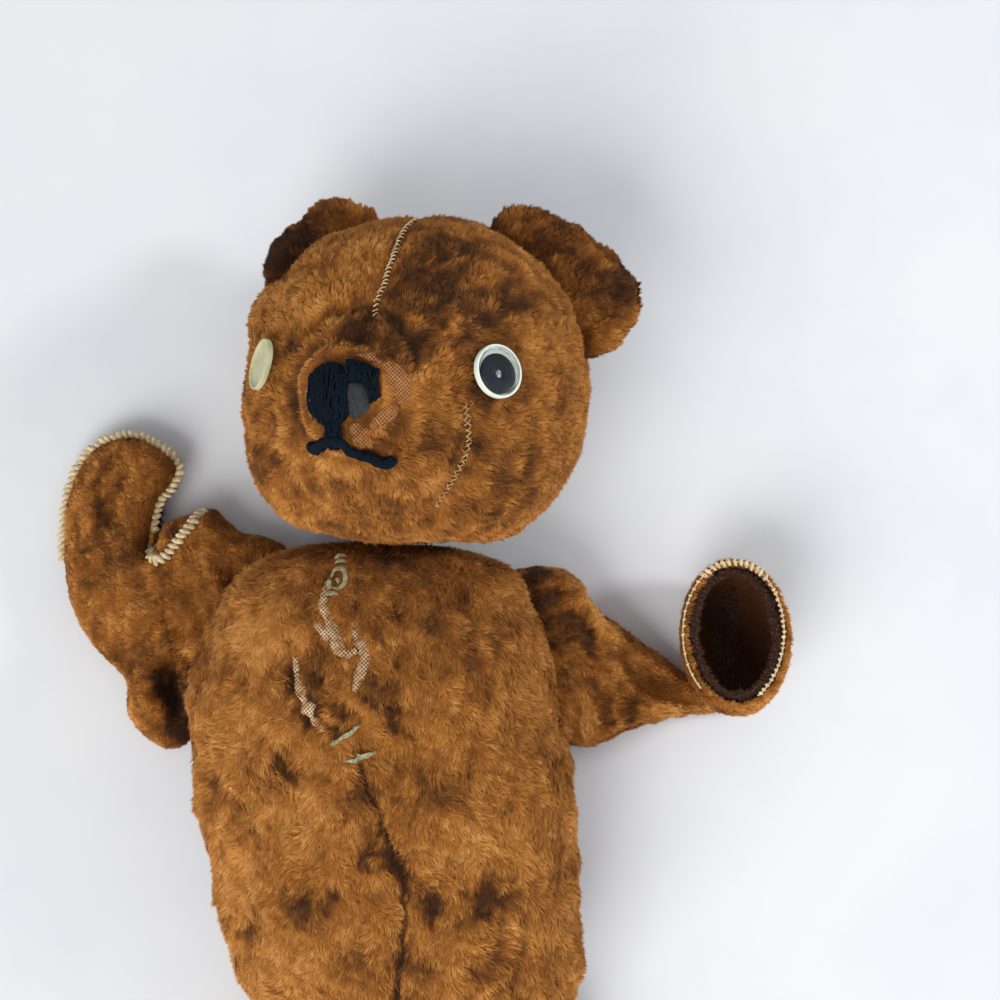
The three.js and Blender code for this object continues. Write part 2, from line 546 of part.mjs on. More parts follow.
function makeLeg(side) {
  const frame = new THREE.Group();
  frame.position.set(...LEGS[side].at, 0);
  frame.rotation.z = radians(LEGS[side].splay);
  frame.updateMatrixWorld(true);
  bear.add(frame);
  const inThisFrame = (solid) => solid.transform([...frame.matrixWorld.clone().invert().elements]);
  const beyond = (y) => solidOf(new THREE.BoxGeometry(REACH, REACH, REACH).translate(0, y - REACH / 2, 0));
  const soleY = -LEG.length + LEG.soleInset;
  const limit = ground.add(beyond(soleY)).add(inThisFrame(bodyInWay));
  const inner = legForm(-SKIN).subtract(slabBelow(SKIN));
  const walls = legForm(0).subtract(inner).subtract(limit);
  const [outward, inward] = side === 'left' ? [leftOf(0), rightOf(0)] : [rightOf(0), leftOf(0)];
  add(frame, `${side}_leg_outer_panel`, geometryOf(walls.intersect(outward)), PLUSH);
  add(frame, `${side}_leg_inner_panel`, geometryOf(walls.intersect(inward)), PLUSH);
  const stuffing = legForm(-SKIN - GAP).subtract(slabBelow(SKIN + GAP)).subtract(beyond(soleY))
    .subtract(inThisFrame(bodyForm(SKIN + 2 * GAP)));
  add(frame, `${side}_leg_stuffing`, geometryOf(stuffing), STUFFING);
  // The sole is the leg's own section at its cut end, a little smaller, laid against the end.
  const beforeSole = new THREE.BoxGeometry(REACH, REACH, REACH).translate(0, soleY + SOLE_PAD + REACH / 2, 0);
  const section = legForm(0).subtract(slabBelow(0.5)).subtract(beyond(soleY)).subtract(solidOf(beforeSole));
  const smaller = new THREE.Matrix4().makeScale(LEG.soleShrunk, 1, LEG.soleShrunk);
  const sole = section.transform([...smaller.elements]).translate([0, -GAP - SOLE_PAD, 2]);
  add(frame, `${side}_foot_pad`, geometryOf(sole), PAD_CLOTH);
}

makeHead();
makeFace();
makeEyes();
makeEars();
makeBody();
makeLeftArm();
makeRightArm();
makeLeg('left');
makeLeg('right');

// The origin is under the middle of the bear's box.
bear.updateMatrixWorld(true);
const extent = new THREE.Box3().setFromObject(bear, true);
const centre = extent.getCenter(new THREE.Vector3());
bear.position.set(-centre.x, -centre.y, -extent.min.z);

export default bear;
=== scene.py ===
# %% [markdown]
# # A threadbare teddy bear, lying on its back
#
# The real bear is old woven plush sewn round stuffing. Its arms have lost theirs, its nose is worn down to
# the felt, one eye has lost its pupil, and its pile is matted, stained and in places gone. This lesson
# builds each soft piece as a skin, lets the skin swell as stuffing makes it, presses in the seams and
# dents, and then grows the pile on it as tens of thousands of small tufts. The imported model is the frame
# that every piece fits.

# %% Load the frame
import math
import bpy
import numpy as np
from mathutils import Matrix, Vector
from mathutils.bvhtree import BVHTree


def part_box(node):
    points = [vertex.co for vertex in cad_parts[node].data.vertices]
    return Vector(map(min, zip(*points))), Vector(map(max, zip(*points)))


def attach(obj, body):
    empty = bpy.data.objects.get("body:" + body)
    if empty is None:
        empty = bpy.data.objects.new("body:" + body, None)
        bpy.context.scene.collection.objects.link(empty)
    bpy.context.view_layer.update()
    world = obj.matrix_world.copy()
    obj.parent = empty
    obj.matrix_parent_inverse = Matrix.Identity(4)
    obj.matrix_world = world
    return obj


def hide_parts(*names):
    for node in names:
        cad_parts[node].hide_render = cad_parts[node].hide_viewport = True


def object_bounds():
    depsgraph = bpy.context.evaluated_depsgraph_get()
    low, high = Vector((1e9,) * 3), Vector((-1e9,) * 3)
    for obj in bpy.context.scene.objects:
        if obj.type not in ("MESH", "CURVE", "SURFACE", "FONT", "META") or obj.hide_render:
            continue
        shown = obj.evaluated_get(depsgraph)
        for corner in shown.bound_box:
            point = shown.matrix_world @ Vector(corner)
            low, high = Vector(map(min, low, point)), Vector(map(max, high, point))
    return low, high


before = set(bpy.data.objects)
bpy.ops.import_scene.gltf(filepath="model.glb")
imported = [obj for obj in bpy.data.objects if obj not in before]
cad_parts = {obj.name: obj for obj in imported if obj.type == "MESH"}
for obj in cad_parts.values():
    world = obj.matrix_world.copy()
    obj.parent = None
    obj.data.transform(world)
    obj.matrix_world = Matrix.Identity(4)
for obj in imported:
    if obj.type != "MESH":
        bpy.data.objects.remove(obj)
cad_low, cad_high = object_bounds()
bear_size = cad_high - cad_low
print("bear", [round(side * 1000) for side in bear_size], "mm")

# %% [markdown]
# ## Two drawings
#
# Every size here is first given in millimetres on one of two drawings, as a maker would have them: the
# bear's own, seen from above, and the head's, which is turned a little about the bear's long axis. Two
# small functions take a point of either into the shared frame, in metres.

# %% From the drawings to the frame
MM = 0.001
DRAWING_AT = np.array([30.97, 97.52, 0.0])
HEAD_AT = np.array([-31.2, 41.0, 50.0])
HEAD_TURN = math.radians(-16)
HEAD_AXES = np.array([
    [math.cos(HEAD_TURN), 0, math.sin(HEAD_TURN)],
    [0, 1, 0],
    [-math.sin(HEAD_TURN), 0, math.cos(HEAD_TURN)],
])


def on_bear(points):
    """Points of the bear's drawing, in metres in the frame."""
    return (np.atleast_2d(np.asarray(points, float)) + DRAWING_AT) * MM


def on_head(points):
    """Points of the head's drawing, in metres in the frame."""
    return on_bear(np.atleast_2d(np.asarray(points, float)) @ HEAD_AXES.T + HEAD_AT)


def to_bear(points):
    """Points of the frame, in millimetres on the bear's drawing."""
    return np.asarray(points) / MM - DRAWING_AT


def to_head(points):
    """Points of the frame, in millimetres on the head's drawing."""
    return (to_bear(points) - HEAD_AT) @ HEAD_AXES


print("middle of the head", on_head([0, 0, 0]).round(4))

# %% [markdown]
# ## Camera, floor and light
#
# The bear lies on a pale table and is seen from straight above, so the camera looks down from half a metre.
# The light is a wide soft window from the bear's right and below, with a pale sky that fills the shadows. A
# small far window puts the glint on the domed eye.

# %% Camera and studio
CAMERA_HEIGHT = 0.528
LENS, SENSOR = 50, 36
bpy.ops.object.select_all(action="DESELECT")
camera_place = on_bear([0, 0, CAMERA_HEIGHT / MM])[0]
bpy.ops.object.camera_add(location=camera_place, rotation=(0, 0, 0))
camera = bpy.context.object
camera.data.lens = LENS
camera.data.sensor_width = SENSOR
camera.data.clip_start = 0.01
bpy.context.scene.camera = camera
bpy.context.scene.view_settings.view_transform = "Standard"


def soft_window(name, place, aim, size, power, colour):
    """A square area light at a place, turned towards a point."""
    bpy.ops.object.light_add(type="AREA", location=place)
    light = bpy.context.object
    light.name = name
    light.data.size = size
    light.data.energy = power
    light.data.color = colour
    light.rotation_euler = (Vector(aim) - Vector(place)).to_track_quat("-Z", "Y").to_euler()


table_middle = (camera_place[0], camera_place[1] - 0.05, 0)
# Each light's place, size, power in watts and colour.
WINDOWS = {
    "window": ((-0.58, -0.80, 1.08), 1.1, 20.0, (1.0, 0.975, 0.94)),
    "fill": ((0.7, 0.6, 1.5), 1.8, 3.2, (0.95, 0.97, 1.0)),
    "far_window": ((1.05, 0.36, 0.68), 0.22, 6.5, (0.96, 0.98, 1.0)),
}
for name, (place, size, power, colour) in WINDOWS.items():
    soft_window(name, place, table_middle, size, power, colour)

world = bpy.data.worlds.new("pale_sky")
bpy.context.scene.world = world
world.use_nodes = True
sky = world.node_tree.nodes["Background"]
sky.inputs["Color"].default_value = (0.93, 0.96, 1.0, 1)
sky.inputs["Strength"].default_value = 0.5
print("camera", camera.location[:])

# %% [markdown]
# ## Shader maths as Python
#
# A finish is a tree of nodes. Two small classes let it be written as expressions: a `Value` wraps one
# output, and its operators add Math nodes; a `Finish` is the material, whose one method adds any other
# node.


# %% Finishes
NOISE_ROUGHNESS = 0.55


class Value:
    """An output socket, on which arithmetic adds Math nodes."""

    def __init__(self, finish, socket):
        self.finish = finish
        self.socket = socket

    def _math(self, operation, first, second, clamp=False):
        settings = {"operation": operation, "use_clamp": clamp}
        return self.finish.add("ShaderNodeMath", settings, {0: first, 1: second})

    def __add__(self, other):
        return self._math("ADD", self, other)

    def __radd__(self, other):
        return self._math("ADD", other, self)

    def __sub__(self, other):
        return self._math("SUBTRACT", self, other)

    def __rsub__(self, other):
        return self._math("SUBTRACT", other, self)

    def __mul__(self, other):
        return self._math("MULTIPLY", self, other)

    def __rmul__(self, other):
        return self._math("MULTIPLY", other, self)

    def sine(self):
        return self._math("SINE", self, 0.0)

    def clamped(self):
        return self._math("ADD", self, 0.0, clamp=True)


class Finish:
    """A material on one Principled shader."""

    def __init__(self, name, **constants):
        self.material = bpy.data.materials.new(name)
        self.material.use_nodes = True
        self.tree = self.material.node_tree
        self.shader = self.tree.nodes["Principled BSDF"]
        for socket, value in constants.items():
            self.shader.inputs[socket.replace("_", " ")].default_value = value

    def add(self, kind, settings=None, sockets=None, output=0):
        """Adds a node, sets what it is, then fills its sockets with values or links."""
        node = self.tree.nodes.new(kind)
        for key, value in (settings or {}).items():
            if key == "stops":
                self._set_stops(node.color_ramp, value)
            else:
                setattr(node, key, value)
        for key, value in (sockets or {}).items():
            if isinstance(value, Value):
                self.tree.links.new(value.socket, node.inputs[key])
            else:
                node.inputs[key].default_value = value
        return Value(self, node.outputs[output])

    @staticmethod
    def _set_stops(ramp, stops):
        while len(ramp.elements) < len(stops):
            ramp.elements.new(0.5)
        for element, (place, colour) in zip(ramp.elements, stops):
            element.position = place
            element.color = (*colour, 1)

    def attribute(self, name):
        return self.add("ShaderNodeAttribute", {"attribute_name": name}, output="Fac")

    def place(self):
        return self.add("ShaderNodeTexCoord", output="Object")

    def along(self, axis):
        """How far along one axis of the frame, in metres."""
        return self.add("ShaderNodeSeparateXYZ", None, {0: self.place()}, output=axis)

    def noise(self, scale, detail):
        sockets = {"Vector": self.place(), "Scale": scale, "Detail": detail, "Roughness": NOISE_ROUGHNESS}
        return self.add("ShaderNodeTexNoise", None, sockets)

    def ramp(self, factor, stops):
        return self.add("ShaderNodeValToRGB", {"stops": stops}, {0: factor})

    def blend(self, factor, under, over):
        """Colour over colour, as far as the factor says."""
        settings = {"data_type": "RGBA", "blend_type": "MIX"}
        colours = {6: under, 7: over}
        for key, colour in colours.items():
            if not isinstance(colour, Value):
                colours[key] = (*colour, 1)
        return self.add("ShaderNodeMix", settings, {0: factor, **colours}, output=2)

    def bump(self, height, distance, strength=1.0):
        sockets = {"Height": height, "Distance": distance, "Strength": strength}
        return self.add("ShaderNodeBump", None, sockets)

    def wear(self, **links):
        """Links what varies to the shader's sockets and gives the material."""
        for socket, value in links.items():
            self.tree.links.new(value.socket, self.shader.inputs[socket.replace("_", " ")])
        return self.material


# %% [markdown]
# ## The table top
#
# The table is a large pale slab, faintly mottled. It isn't part of the bear.

# %% Floor
floor_finish = Finish("table_top", Roughness=0.75)
mottle = floor_finish.noise(9.0, 4.0)
floor_colour = floor_finish.ramp(mottle, [(0.35, (0.66, 0.68, 0.72)), (0.62, (0.71, 0.72, 0.735))])
floor_finish.wear(Base_Color=floor_colour)
bpy.ops.mesh.primitive_plane_add(size=8, location=(0, 0, 0))
floor = bpy.context.object
floor.name = "table_top"
floor.data.materials.append(floor_finish.material)

# %% [markdown]
# ## Skins
#
# A stuffed piece of plush has no flat faces: the stuffing pushes the cloth out until the seams hold it. So
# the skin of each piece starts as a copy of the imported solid, is remeshed into even cells, and swells as
# cloth under pressure. The movement is capped, so that the piece keeps its size.

# %% Skin helpers
SWELL_FRAMES = 20
SWELL_PRESSURE = 4.0
MERGE = 1e-5
TINY = 1e-9


def only(thing):
    """Makes one object the selected and active one."""
    bpy.ops.object.select_all(action="DESELECT")
    thing.select_set(True)
    bpy.context.view_layer.objects.active = thing


def points_of(thing):
    """The places of a mesh's vertices, in metres."""
    places = np.empty(len(thing.data.vertices) * 3)
    thing.data.vertices.foreach_get("co", places)
    return places.reshape(-1, 3)


def normals_of(thing):
    """The directions out of a mesh at its vertices."""
    found = np.empty(len(thing.data.vertices) * 3)
    thing.data.vertices.foreach_get("normal", found)
    return found.reshape(-1, 3)


def move_points(thing, places):
    """Gives a mesh's vertices new places."""
    thing.data.vertices.foreach_set("co", np.asarray(places, float).ravel())
    thing.data.update()


def apply_modifier(thing, kind, **settings):
    """Adds one modifier, sets it and applies it."""
    only(thing)
    modifier = thing.modifiers.new(kind.lower(), kind)
    for key, value in settings.items():
        setattr(modifier, key, value)
    bpy.ops.object.modifier_apply(modifier=modifier.name)


def link_piece(name, mesh):
    """A new object of a mesh, in the scene."""
    thing = bpy.data.objects.new(name, mesh)
    bpy.context.scene.collection.objects.link(thing)
    return thing


def new_piece(name, points, faces, edges=()):
    """A new object of places in metres, with their edges and faces."""
    mesh = bpy.data.meshes.new(name)
    mesh.from_pydata(np.asarray(points, float).tolist(), edges, faces)
    return link_piece(name, mesh)


def mend(thing, merge=None, outwards=True):
    """Merges the vertices that lie within a distance, and turns the faces outwards."""
    only(thing)
    bpy.ops.object.mode_set(mode="EDIT")
    bpy.ops.mesh.select_all(action="SELECT")
    if merge:
        bpy.ops.mesh.remove_doubles(threshold=merge)
    if outwards:
        bpy.ops.mesh.normals_make_consistent(inside=False)
    bpy.ops.object.mode_set(mode="OBJECT")


def skin_from(name, node, cell, grow=0.0):
    """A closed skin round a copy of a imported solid, in even cells, grown by a distance in metres."""
    skin = link_piece(name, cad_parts[node].data.copy())
    skin.data.materials.clear()
    mend(skin, merge=MERGE, outwards=False)
    apply_modifier(skin, "REMESH", mode="VOXEL", voxel_size=cell)
    if grow:
        move_points(skin, points_of(skin) + normals_of(skin) * grow)
    return skin


def swell(skin, cap):
    """Lets the skin swell as cloth over its stuffing, by no more than the cap, in metres."""
    start = points_of(skin)
    only(skin)
    cloth = skin.modifiers.new("cloth", "CLOTH")
    cloth.settings.use_pressure = True
    cloth.settings.uniform_pressure_force = SWELL_PRESSURE
    cloth.settings.effector_weights.gravity = 0
    scene = bpy.context.scene
    for step in range(1, SWELL_FRAMES + 1):
        scene.frame_set(step)
    bpy.ops.object.modifier_apply(modifier=cloth.name)
    scene.frame_set(1)
    moves = points_of(skin) - start
    length = np.linalg.norm(moves, axis=1, keepdims=True)
    move_points(skin, start + moves * np.minimum(1, cap / np.maximum(length, TINY)))
    print(skin.name, "swelled by up to", round(float(length.max()) / MM, 1), "mm")


def unit(vectors):
    """Vectors of length 1, of any array whose last axis holds them."""
    return vectors / np.maximum(np.linalg.norm(vectors, axis=-1, keepdims=True), TINY)


def flatten_bottom(places, height=0.0):
    """The table holds the cloth up: nothing goes below it."""
    places[:, 2] = np.maximum(places[:, 2], height)
    return places


def falloff(distance, radius):
    """1 at no distance, and smoothly 0 at the radius."""
    t = np.clip(1 - distance / radius, 0, 1)
    return t * t * (3 - 2 * t)


def from_line(points, line):
    """How far each point is from a line, both seen from above."""
    return line_distance(points[:, :2], line)[0]


def ridge(distance, width):
    """1 on a line, and softly 0 beyond its width."""
    return np.exp(-(distance / width) ** 2)


def bulged(points, bulges):
    """How far the stuffing pushes each point out, in millimetres: a bulge is its place, reach and height."""
    out = np.zeros(len(points))
    for x, y, reach, high in bulges:
        out += high * falloff(np.hypot(points[:, 0] - x, points[:, 1] - y), reach)
    return out


def line_distance(points, line):
    """How far each point is from a line of points, in the same units, and how far along it, from 0 to 1."""
    points = np.asarray(points, float)
    line = np.asarray(line, float)
    best = np.full(len(points), 1e9)
    along = np.zeros(len(points))
    steps = len(line) - 1
    for i in range(steps):
        start, step = line[i], line[i + 1] - line[i]
        t = np.clip((points - start) @ step / (step @ step), 0, 1)
        distance = np.linalg.norm(points - start - t[:, None] * step, axis=1)
        nearer = distance < best
        best[nearer] = distance[nearer]
        along[nearer] = (i + t[nearer]) / steps
    return best, along


WAVE_COUNT = 7
WAVE_SUM = 3.2  # brings the sum of so many waves back to about -1 to 1


def waves(points, size, seed):
    """Soft noise between about -1 and 1: a few sine waves of one size in turned directions."""
    rng = np.random.default_rng(seed)
    total = np.zeros(len(points))
    for _ in range(WAVE_COUNT):
        direction = rng.normal(size=3)
        direction *= rng.uniform(0.6, 1.5) / np.linalg.norm(direction)
        total += np.sin(points @ direction * (2 * math.pi / size) + rng.uniform(0, 2 * math.pi))
    return total / WAVE_SUM


def rumpled(points, layers, seed):
    """Waves of several sizes added up: a layer is its height and its size."""
    return sum(height * waves(points, size, seed + i) for i, (height, size) in enumerate(layers))


# %% [markdown]
# ## The pile
#
# Plush is a woven backing with a pile of mohair standing in it. On a bear this old the pile lies down,
# clings together in tufts and swirls. Hair curves would be lost in the export, so each tuft is a thin
# triangle that lies over and ends in a point. One function sows the roots evenly over the skin, thinner
# where the pile is worn off, combs them along a direction that is given at each place, and draws neighbours
# together into clumps. What the finish needs to know rides on each tuft: how far along it a point is, how
# light its clump is, and how stained its place is, with the painted shade of partings and creases and, on
# the body, painted light.

# %% Stains, worn places and painted shade
# On the bear's drawing: x, y, radius and how dark (below 0: how faded).
BODY_PATCHES = [
    (-68.0, -56.0, 9, 0.75), (-63.0, -63.0, 7, 0.6), (-54.5, -73.5, 7, 0.6), (-43.5, -39.5, 7, 0.75),
    (-35.0, -69.0, 6, 0.7), (-74.0, -87.0, 8, 0.6), (-35.0, -20.0, 8, 0.6), (-60.0, -70.0, 6, 0.5),
    (-63.0, -132.0, 8, 0.8), (-24.0, -131.0, 9, 0.8), (0.0, -130.0, 10, 0.75), (-3.0, -152.0, 9, 0.7),
    (-42.0, -114.0, 7, 0.6), (-34.0, -117.0, 7, 0.6), (-72.0, -86.0, 6, 0.5), (-57.0, -69.0, 6, 0.5),
    (-36.0, -60.0, 9, 0.6), (-52.5, -66.5, 5, 0.9), (-85.0, -60.0, 8, 0.5), (-6.0, -126.5, 7, 0.5),
    (-80.0, -112.0, 8, 0.55), (-20.0, -96.0, 9, 0.45), (10.0, -80.0, 9, 0.35), (-94.0, -95.0, 9, 0.45),
    (-28.0, -150.0, 10, 0.6), (-50.0, -150.0, 9, 0.5), (-12.0, -60.0, 10, 0.3), (-22.0, -36.0, 14, 0.35),
    (-2.0, -45.0, 12, 0.35), (-46.0, -96.0, 7, 0.6), (-78.0, -48.0, 16, -0.4), (-60.0, -100.0, 14, -0.25),
    (-15.0, -112.0, 14, -0.3), (-85.0, -125.0, 12, -0.2), (-18.0, -80.0, 10, -0.3),
    (-70.0, -150.0, 12, -0.2), (-90.0, -45.0, 9, -0.3), (-84.0, -144.0, 5, 1.0),
]
# On the head's drawing.
HEAD_PATCHES = [
    (22.0, 22.0, 20, 0.5), (36.0, 6.0, 13, 0.55), (14.0, 40.0, 12, 0.45), (42.0, -4.0, 11, 0.5),
    (48.0, 20.0, 9, 0.6), (-28.0, 26.0, 20, -0.4), (-10.0, 40.0, 12, -0.25), (-6.0, -30.0, 9, -0.45),
    (-20.0, -8.0, 8, 0.4), (26.0, -22.0, 6, 0.5), (32.0, -28.0, 5, 0.45), (10.0, -42.0, 8, 0.3),
    (0.0, 12.0, 8, 0.55), (-40.0, -28.0, 9, 0.4), (12.0, -12.0, 6, -0.4), (40.0, -36.0, 12, 0.25),
    (-22.0, 6.0, 9, 0.35), (18.0, 4.0, 8, 0.5), (30.0, 38.0, 9, 0.5),
]


def patchiness(points, patches, seed):
    """How much staining each point has, with painted shade where the pile parts, in millimetres on a drawing.

    The named patches are broken up by soft noise. Dark lines of painted shade show where the pile parts, and
    some spots are bright.
    """
    rough = rumpled(points, [(3.2, 9.0), (1.6, 4.5)], seed)
    total = rumpled(points, [(0.17, 30.0), (0.18, 11.0)], seed + 2)
    total += 0.10 * waves(points, 5.0, seed + 7)
    # Painted shade: dark lines where the pile parts.
    parting_shade = ridge(waves(points, 19.0, seed + 4), 0.10)
    total += 0.42 * parting_shade * np.clip(waves(points, 33.0, seed + 5) + 0.1, 0, 1)
    total -= 0.5 * np.clip(waves(points, 9.0, seed + 6) - 0.75, 0, 1)
    for x, y, radius, dark in patches:
        distance = np.hypot(points[:, 0] - x, (points[:, 1] - y) * 1.25) + rough
        total += dark * falloff(distance, radius * 1.35)
    return np.clip(total, -0.6, 1.0)


# %% Grow a pile on a skin
TILE = 0.5  # the map is two tiles, side by side: the front and the back of the piece
FOOTPRINT = 1.6 / 512  # how wide a tuft's face is on its map
CLING = 0.55  # how far tufts are drawn to their clump's own tip
SWIRL = 0.7
ROOT_DEPTH = 0.0003
SHORTEST = 0.15  # of a tuft's length, where the pile is worn down


def surface_samples(skin, count, density, rng):
    """Even random roots on a skin: places, normals. Density is a function of places and normals."""
    mesh = skin.data
    mesh.calc_loop_triangles()
    corners = np.empty(len(mesh.loop_triangles) * 3, np.int32)
    mesh.loop_triangles.foreach_get("vertices", corners)
    corners = corners.reshape(-1, 3)
    places, normals = points_of(skin), normals_of(skin)
    a, b, c = (places[corners[:, i]] for i in range(3))
    area = np.linalg.norm(np.cross(b - a, c - a), axis=1) / 2
    middle = (a + b + c) / 3
    weight = area * density(middle, unit(normals[corners].mean(1)))
    seen = mesh.attributes.get("seen")
    if seen is not None:
        shares = np.empty(len(places))
        seen.data.foreach_get("value", shares)
        weight *= shares[corners].mean(1)
    ladder = np.cumsum(weight) / weight.sum()
    chosen = np.searchsorted(ladder, (np.arange(count) + rng.uniform(0, 1, count)) / count)
    chosen = np.minimum(chosen, len(corners) - 1)
    u, v = rng.uniform(0, 1, (2, count))
    over = u + v > 1
    u[over], v[over] = 1 - u[over], 1 - v[over]
    shares = np.stack([1 - u - v, u, v], 1)[:, :, None]
    roots = (places[corners[chosen]] * shares).sum(1)
    out = (normals[corners[chosen]] * shares).sum(1)
    return roots, unit(out)


def turned_about(vectors, axes, angles):
    """Vectors turned about unit axes at right angles to them."""
    return vectors * np.cos(angles)[:, None] + np.cross(axes, vectors) * np.sin(angles)[:, None]


def grow_pile(name, skin, count, seed, comb, stain, density, length, width, lean=71.0, clump=2.1, bare=None):
    """A pile of tufts on a skin, as one mesh: sizes are in millimetres, and lean in degrees from upright.

    comb, staining (with its painted shade and light) and density are functions of places and normals; bare
    gives 0 to 1 for how short the pile is.
    """
    rng = np.random.default_rng(seed)
    roots, out = surface_samples(skin, count, density, rng)
    along = comb(roots, out)
    along = unit(along - out * (along * out).sum(1, keepdims=True))
    mm_roots = roots / MM
    angle = SWIRL * (waves(mm_roots, 26.0, seed + 1) + 0.8 * waves(mm_roots, 11.0, seed + 2))
    angle += rng.normal(0, 0.22, count)
    along = turned_about(along, out, angle)
    # Tufts of one clump share a lean, a length and a lightness.
    warp = np.stack([waves(mm_roots, 7.0, seed + 3 + i) for i in range(3)], 1)
    cells = np.floor((mm_roots + warp * 1.2) / clump).astype(np.int64)
    _, member = np.unique(cells, axis=0, return_inverse=True)
    member = member.ravel()
    size = np.bincount(member)
    clumps = len(size)

    def mean_of(values):
        return np.stack([np.bincount(member, column) / size for column in values.T], 1)[member]

    clump_root, clump_along, clump_out = mean_of(roots), unit(mean_of(along)), unit(mean_of(out))
    clump_rng = np.random.default_rng(seed + 7)
    clump_turn = clump_rng.normal(0, 0.32, clumps)[member]
    clump_along = unit(turned_about(clump_along, clump_out, clump_turn))
    clump_lean = np.radians(clump_rng.normal(lean, 7.0, clumps))[member]
    clump_light = clump_rng.uniform(0, 1, clumps)[member]
    long = length * MM * clump_rng.uniform(0.72, 1.2, clumps)[member] * rng.uniform(0.75, 1.1, count)
    if bare is not None:
        long *= 1 - (1 - SHORTEST) * bare(roots, out)
    tilt = np.clip(clump_lean + rng.normal(0, 0.12, count), 0.2, 1.5)
    reach, rise = long * np.sin(tilt), long * np.cos(tilt)
    own = roots + along * reach[:, None] + out * rise[:, None]
    shared = clump_root + clump_along * reach[:, None] * 1.1 + clump_out * rise[:, None]
    tips = own + (shared - own) * (CLING * rng.uniform(0.5, 1.3, count))[:, None]
    # A tuft's own stretch is kept to its length where the clump would pull it far.
    pull = tips - roots
    stretch = np.linalg.norm(pull, axis=1)
    tips = roots + pull * np.minimum(1, 1.15 * long / np.maximum(stretch, TINY))[:, None]
    across = unit(np.cross(out, tips - roots))
    across = unit(across + out * rng.normal(0, 0.38, count)[:, None])
    half = (width * MM / 2 * rng.uniform(0.7, 1.3, count))[:, None]
    roots = roots - out * ROOT_DEPTH
    points = np.stack([roots - across * half, roots + across * half, tips], 1)
    points[:, :, 2] = np.maximum(points[:, :, 2], 0.0)
    tuft_stain = stain(roots, out)
    mottle = 0.5 + 0.5 * waves(mm_roots, 5.0, seed + 8)
    tone = 0.34 * clump_light + 0.33 * rng.uniform(0, 1, count) + 0.33 * mottle
    pile = tufts(name, points, out, tone, tuft_stain)
    print(name, "has", len(pile.data.polygons), "faces in", clumps, "clumps")
    return pile


def tufts(name, points, out, tone, tuft_stain):
    """The mesh of the tufts: each is one thin triangle, with two points at its root and one at its tip."""
    count = len(points)
    mesh = bpy.data.meshes.new(name)
    mesh.vertices.add(3 * count)
    mesh.vertices.foreach_set("co", points.astype(np.float32).ravel())
    mesh.loops.add(3 * count)
    mesh.loops.foreach_set("vertex_index", np.arange(3 * count, dtype=np.int32))
    mesh.polygons.add(count)
    mesh.polygons.foreach_set("loop_start", np.arange(0, 3 * count, 3, dtype=np.int32))
    mesh.update(calc_edges=True)
    for key, values in {
        "along": np.tile([0.0, 0.0, 1.0], count),
        "tone": np.repeat(tone, 3),
        "stain": np.repeat(tuft_stain, 3),
    }.items():
        mesh.attributes.new(key, "FLOAT", "POINT").data.foreach_set("value", values.astype(np.float32))
    lay_out_tufts(mesh, points, out)
    return link_piece(name, mesh)


def lay_out_tufts(mesh, points, out):
    """A map for the bake: each tuft lies where its root is, on the tile for its side of the piece."""
    root = points[:, :2].mean(1)[:, :2]
    low, high = root.min(0), root.max(0)
    place = (root - low) / (high - low) * (np.array([TILE, 1.0]) - 4 * FOOTPRINT) + 2 * FOOTPRINT
    place[:, 0] += np.where(out[:, 2] > 0, 0.0, TILE)
    corner = np.array([[0, 0], [1, 0], [0.5, 1.2]]) * FOOTPRINT
    uv = place[:, None, :] + corner[None]
    layer = mesh.uv_layers.new(name="OFBake")
    layer.uv.foreach_set("vector", uv.astype(np.float32).ravel())


# %% [markdown]
# ## The finish of the plush
#
# A tuft is dark at its root, where dirt and its own shadow gather, and lighter towards its tip. A clump has
# its own tone, and stains and painted shade pull the colour to a near black brown, while painted light makes
# it paler. Under the tufts the skin is matted pile of the same colours, and where even that is gone a
# separate finish shows the woven net.

# %% Plush finishes
TUFT_TONES = [(0.0, (0.055, 0.016, 0.003)), (0.42, (0.240, 0.080, 0.012)), (0.72, (0.46, 0.180, 0.032)),
              (1.0, (0.68, 0.33, 0.090))]
STAIN_AND_SHADE_COLOUR = (0.030, 0.011, 0.004)


def stained_and_shaded(finish, light, stain):
    """The colour of the plush for how light it is, with its staining and painted shade over it."""
    colour = finish.ramp(light, TUFT_TONES)
    # This mask holds stains and painted shade alike.
    dirt = (stain * 1.15 - 0.1).clamped()
    return finish.blend(dirt * 0.75, colour, STAIN_AND_SHADE_COLOUR)


def pile_finish(name, darker=0.0):
    finish = Finish(name, Roughness=0.85, Sheen_Weight=0.12, Sheen_Roughness=0.5, Specular_IOR_Level=0.25)
    finish.shader.inputs["Sheen Tint"].default_value = (1.0, 0.70, 0.40, 1)
    along = finish.attribute("along")
    tone = finish.attribute("tone")
    stain = finish.attribute("stain")
    light = (along * 0.27 + tone * 0.56 + 0.17 - darker - stain * 0.46).clamped()
    return finish.wear(Base_Color=stained_and_shaded(finish, light, stain))


def backing_finish(name, darker=0.0):
    """The skin under the tufts: matted pile, with the same staining and painted shade as the tufts have."""
    finish = Finish(name, Roughness=0.95, Specular_IOR_Level=0.2)
    fibres = finish.noise(900.0, 4.0)
    patch = finish.noise(260.0, 3.0)
    stain = finish.attribute("stain")
    light = (fibres * 0.36 + patch * 0.40 - 0.02 - darker - stain * 0.46).clamped()
    normal = finish.bump(fibres, 0.0006)
    return finish.wear(Base_Color=stained_and_shaded(finish, light, stain), Normal=normal)


def wear_finish(thing, material):
    """Gives a piece its one material."""
    thing.data.materials.clear()
    thing.data.materials.append(material)


kept = {}


def keep(thing, nodes):
    """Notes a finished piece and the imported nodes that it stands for."""
    kept[thing] = nodes


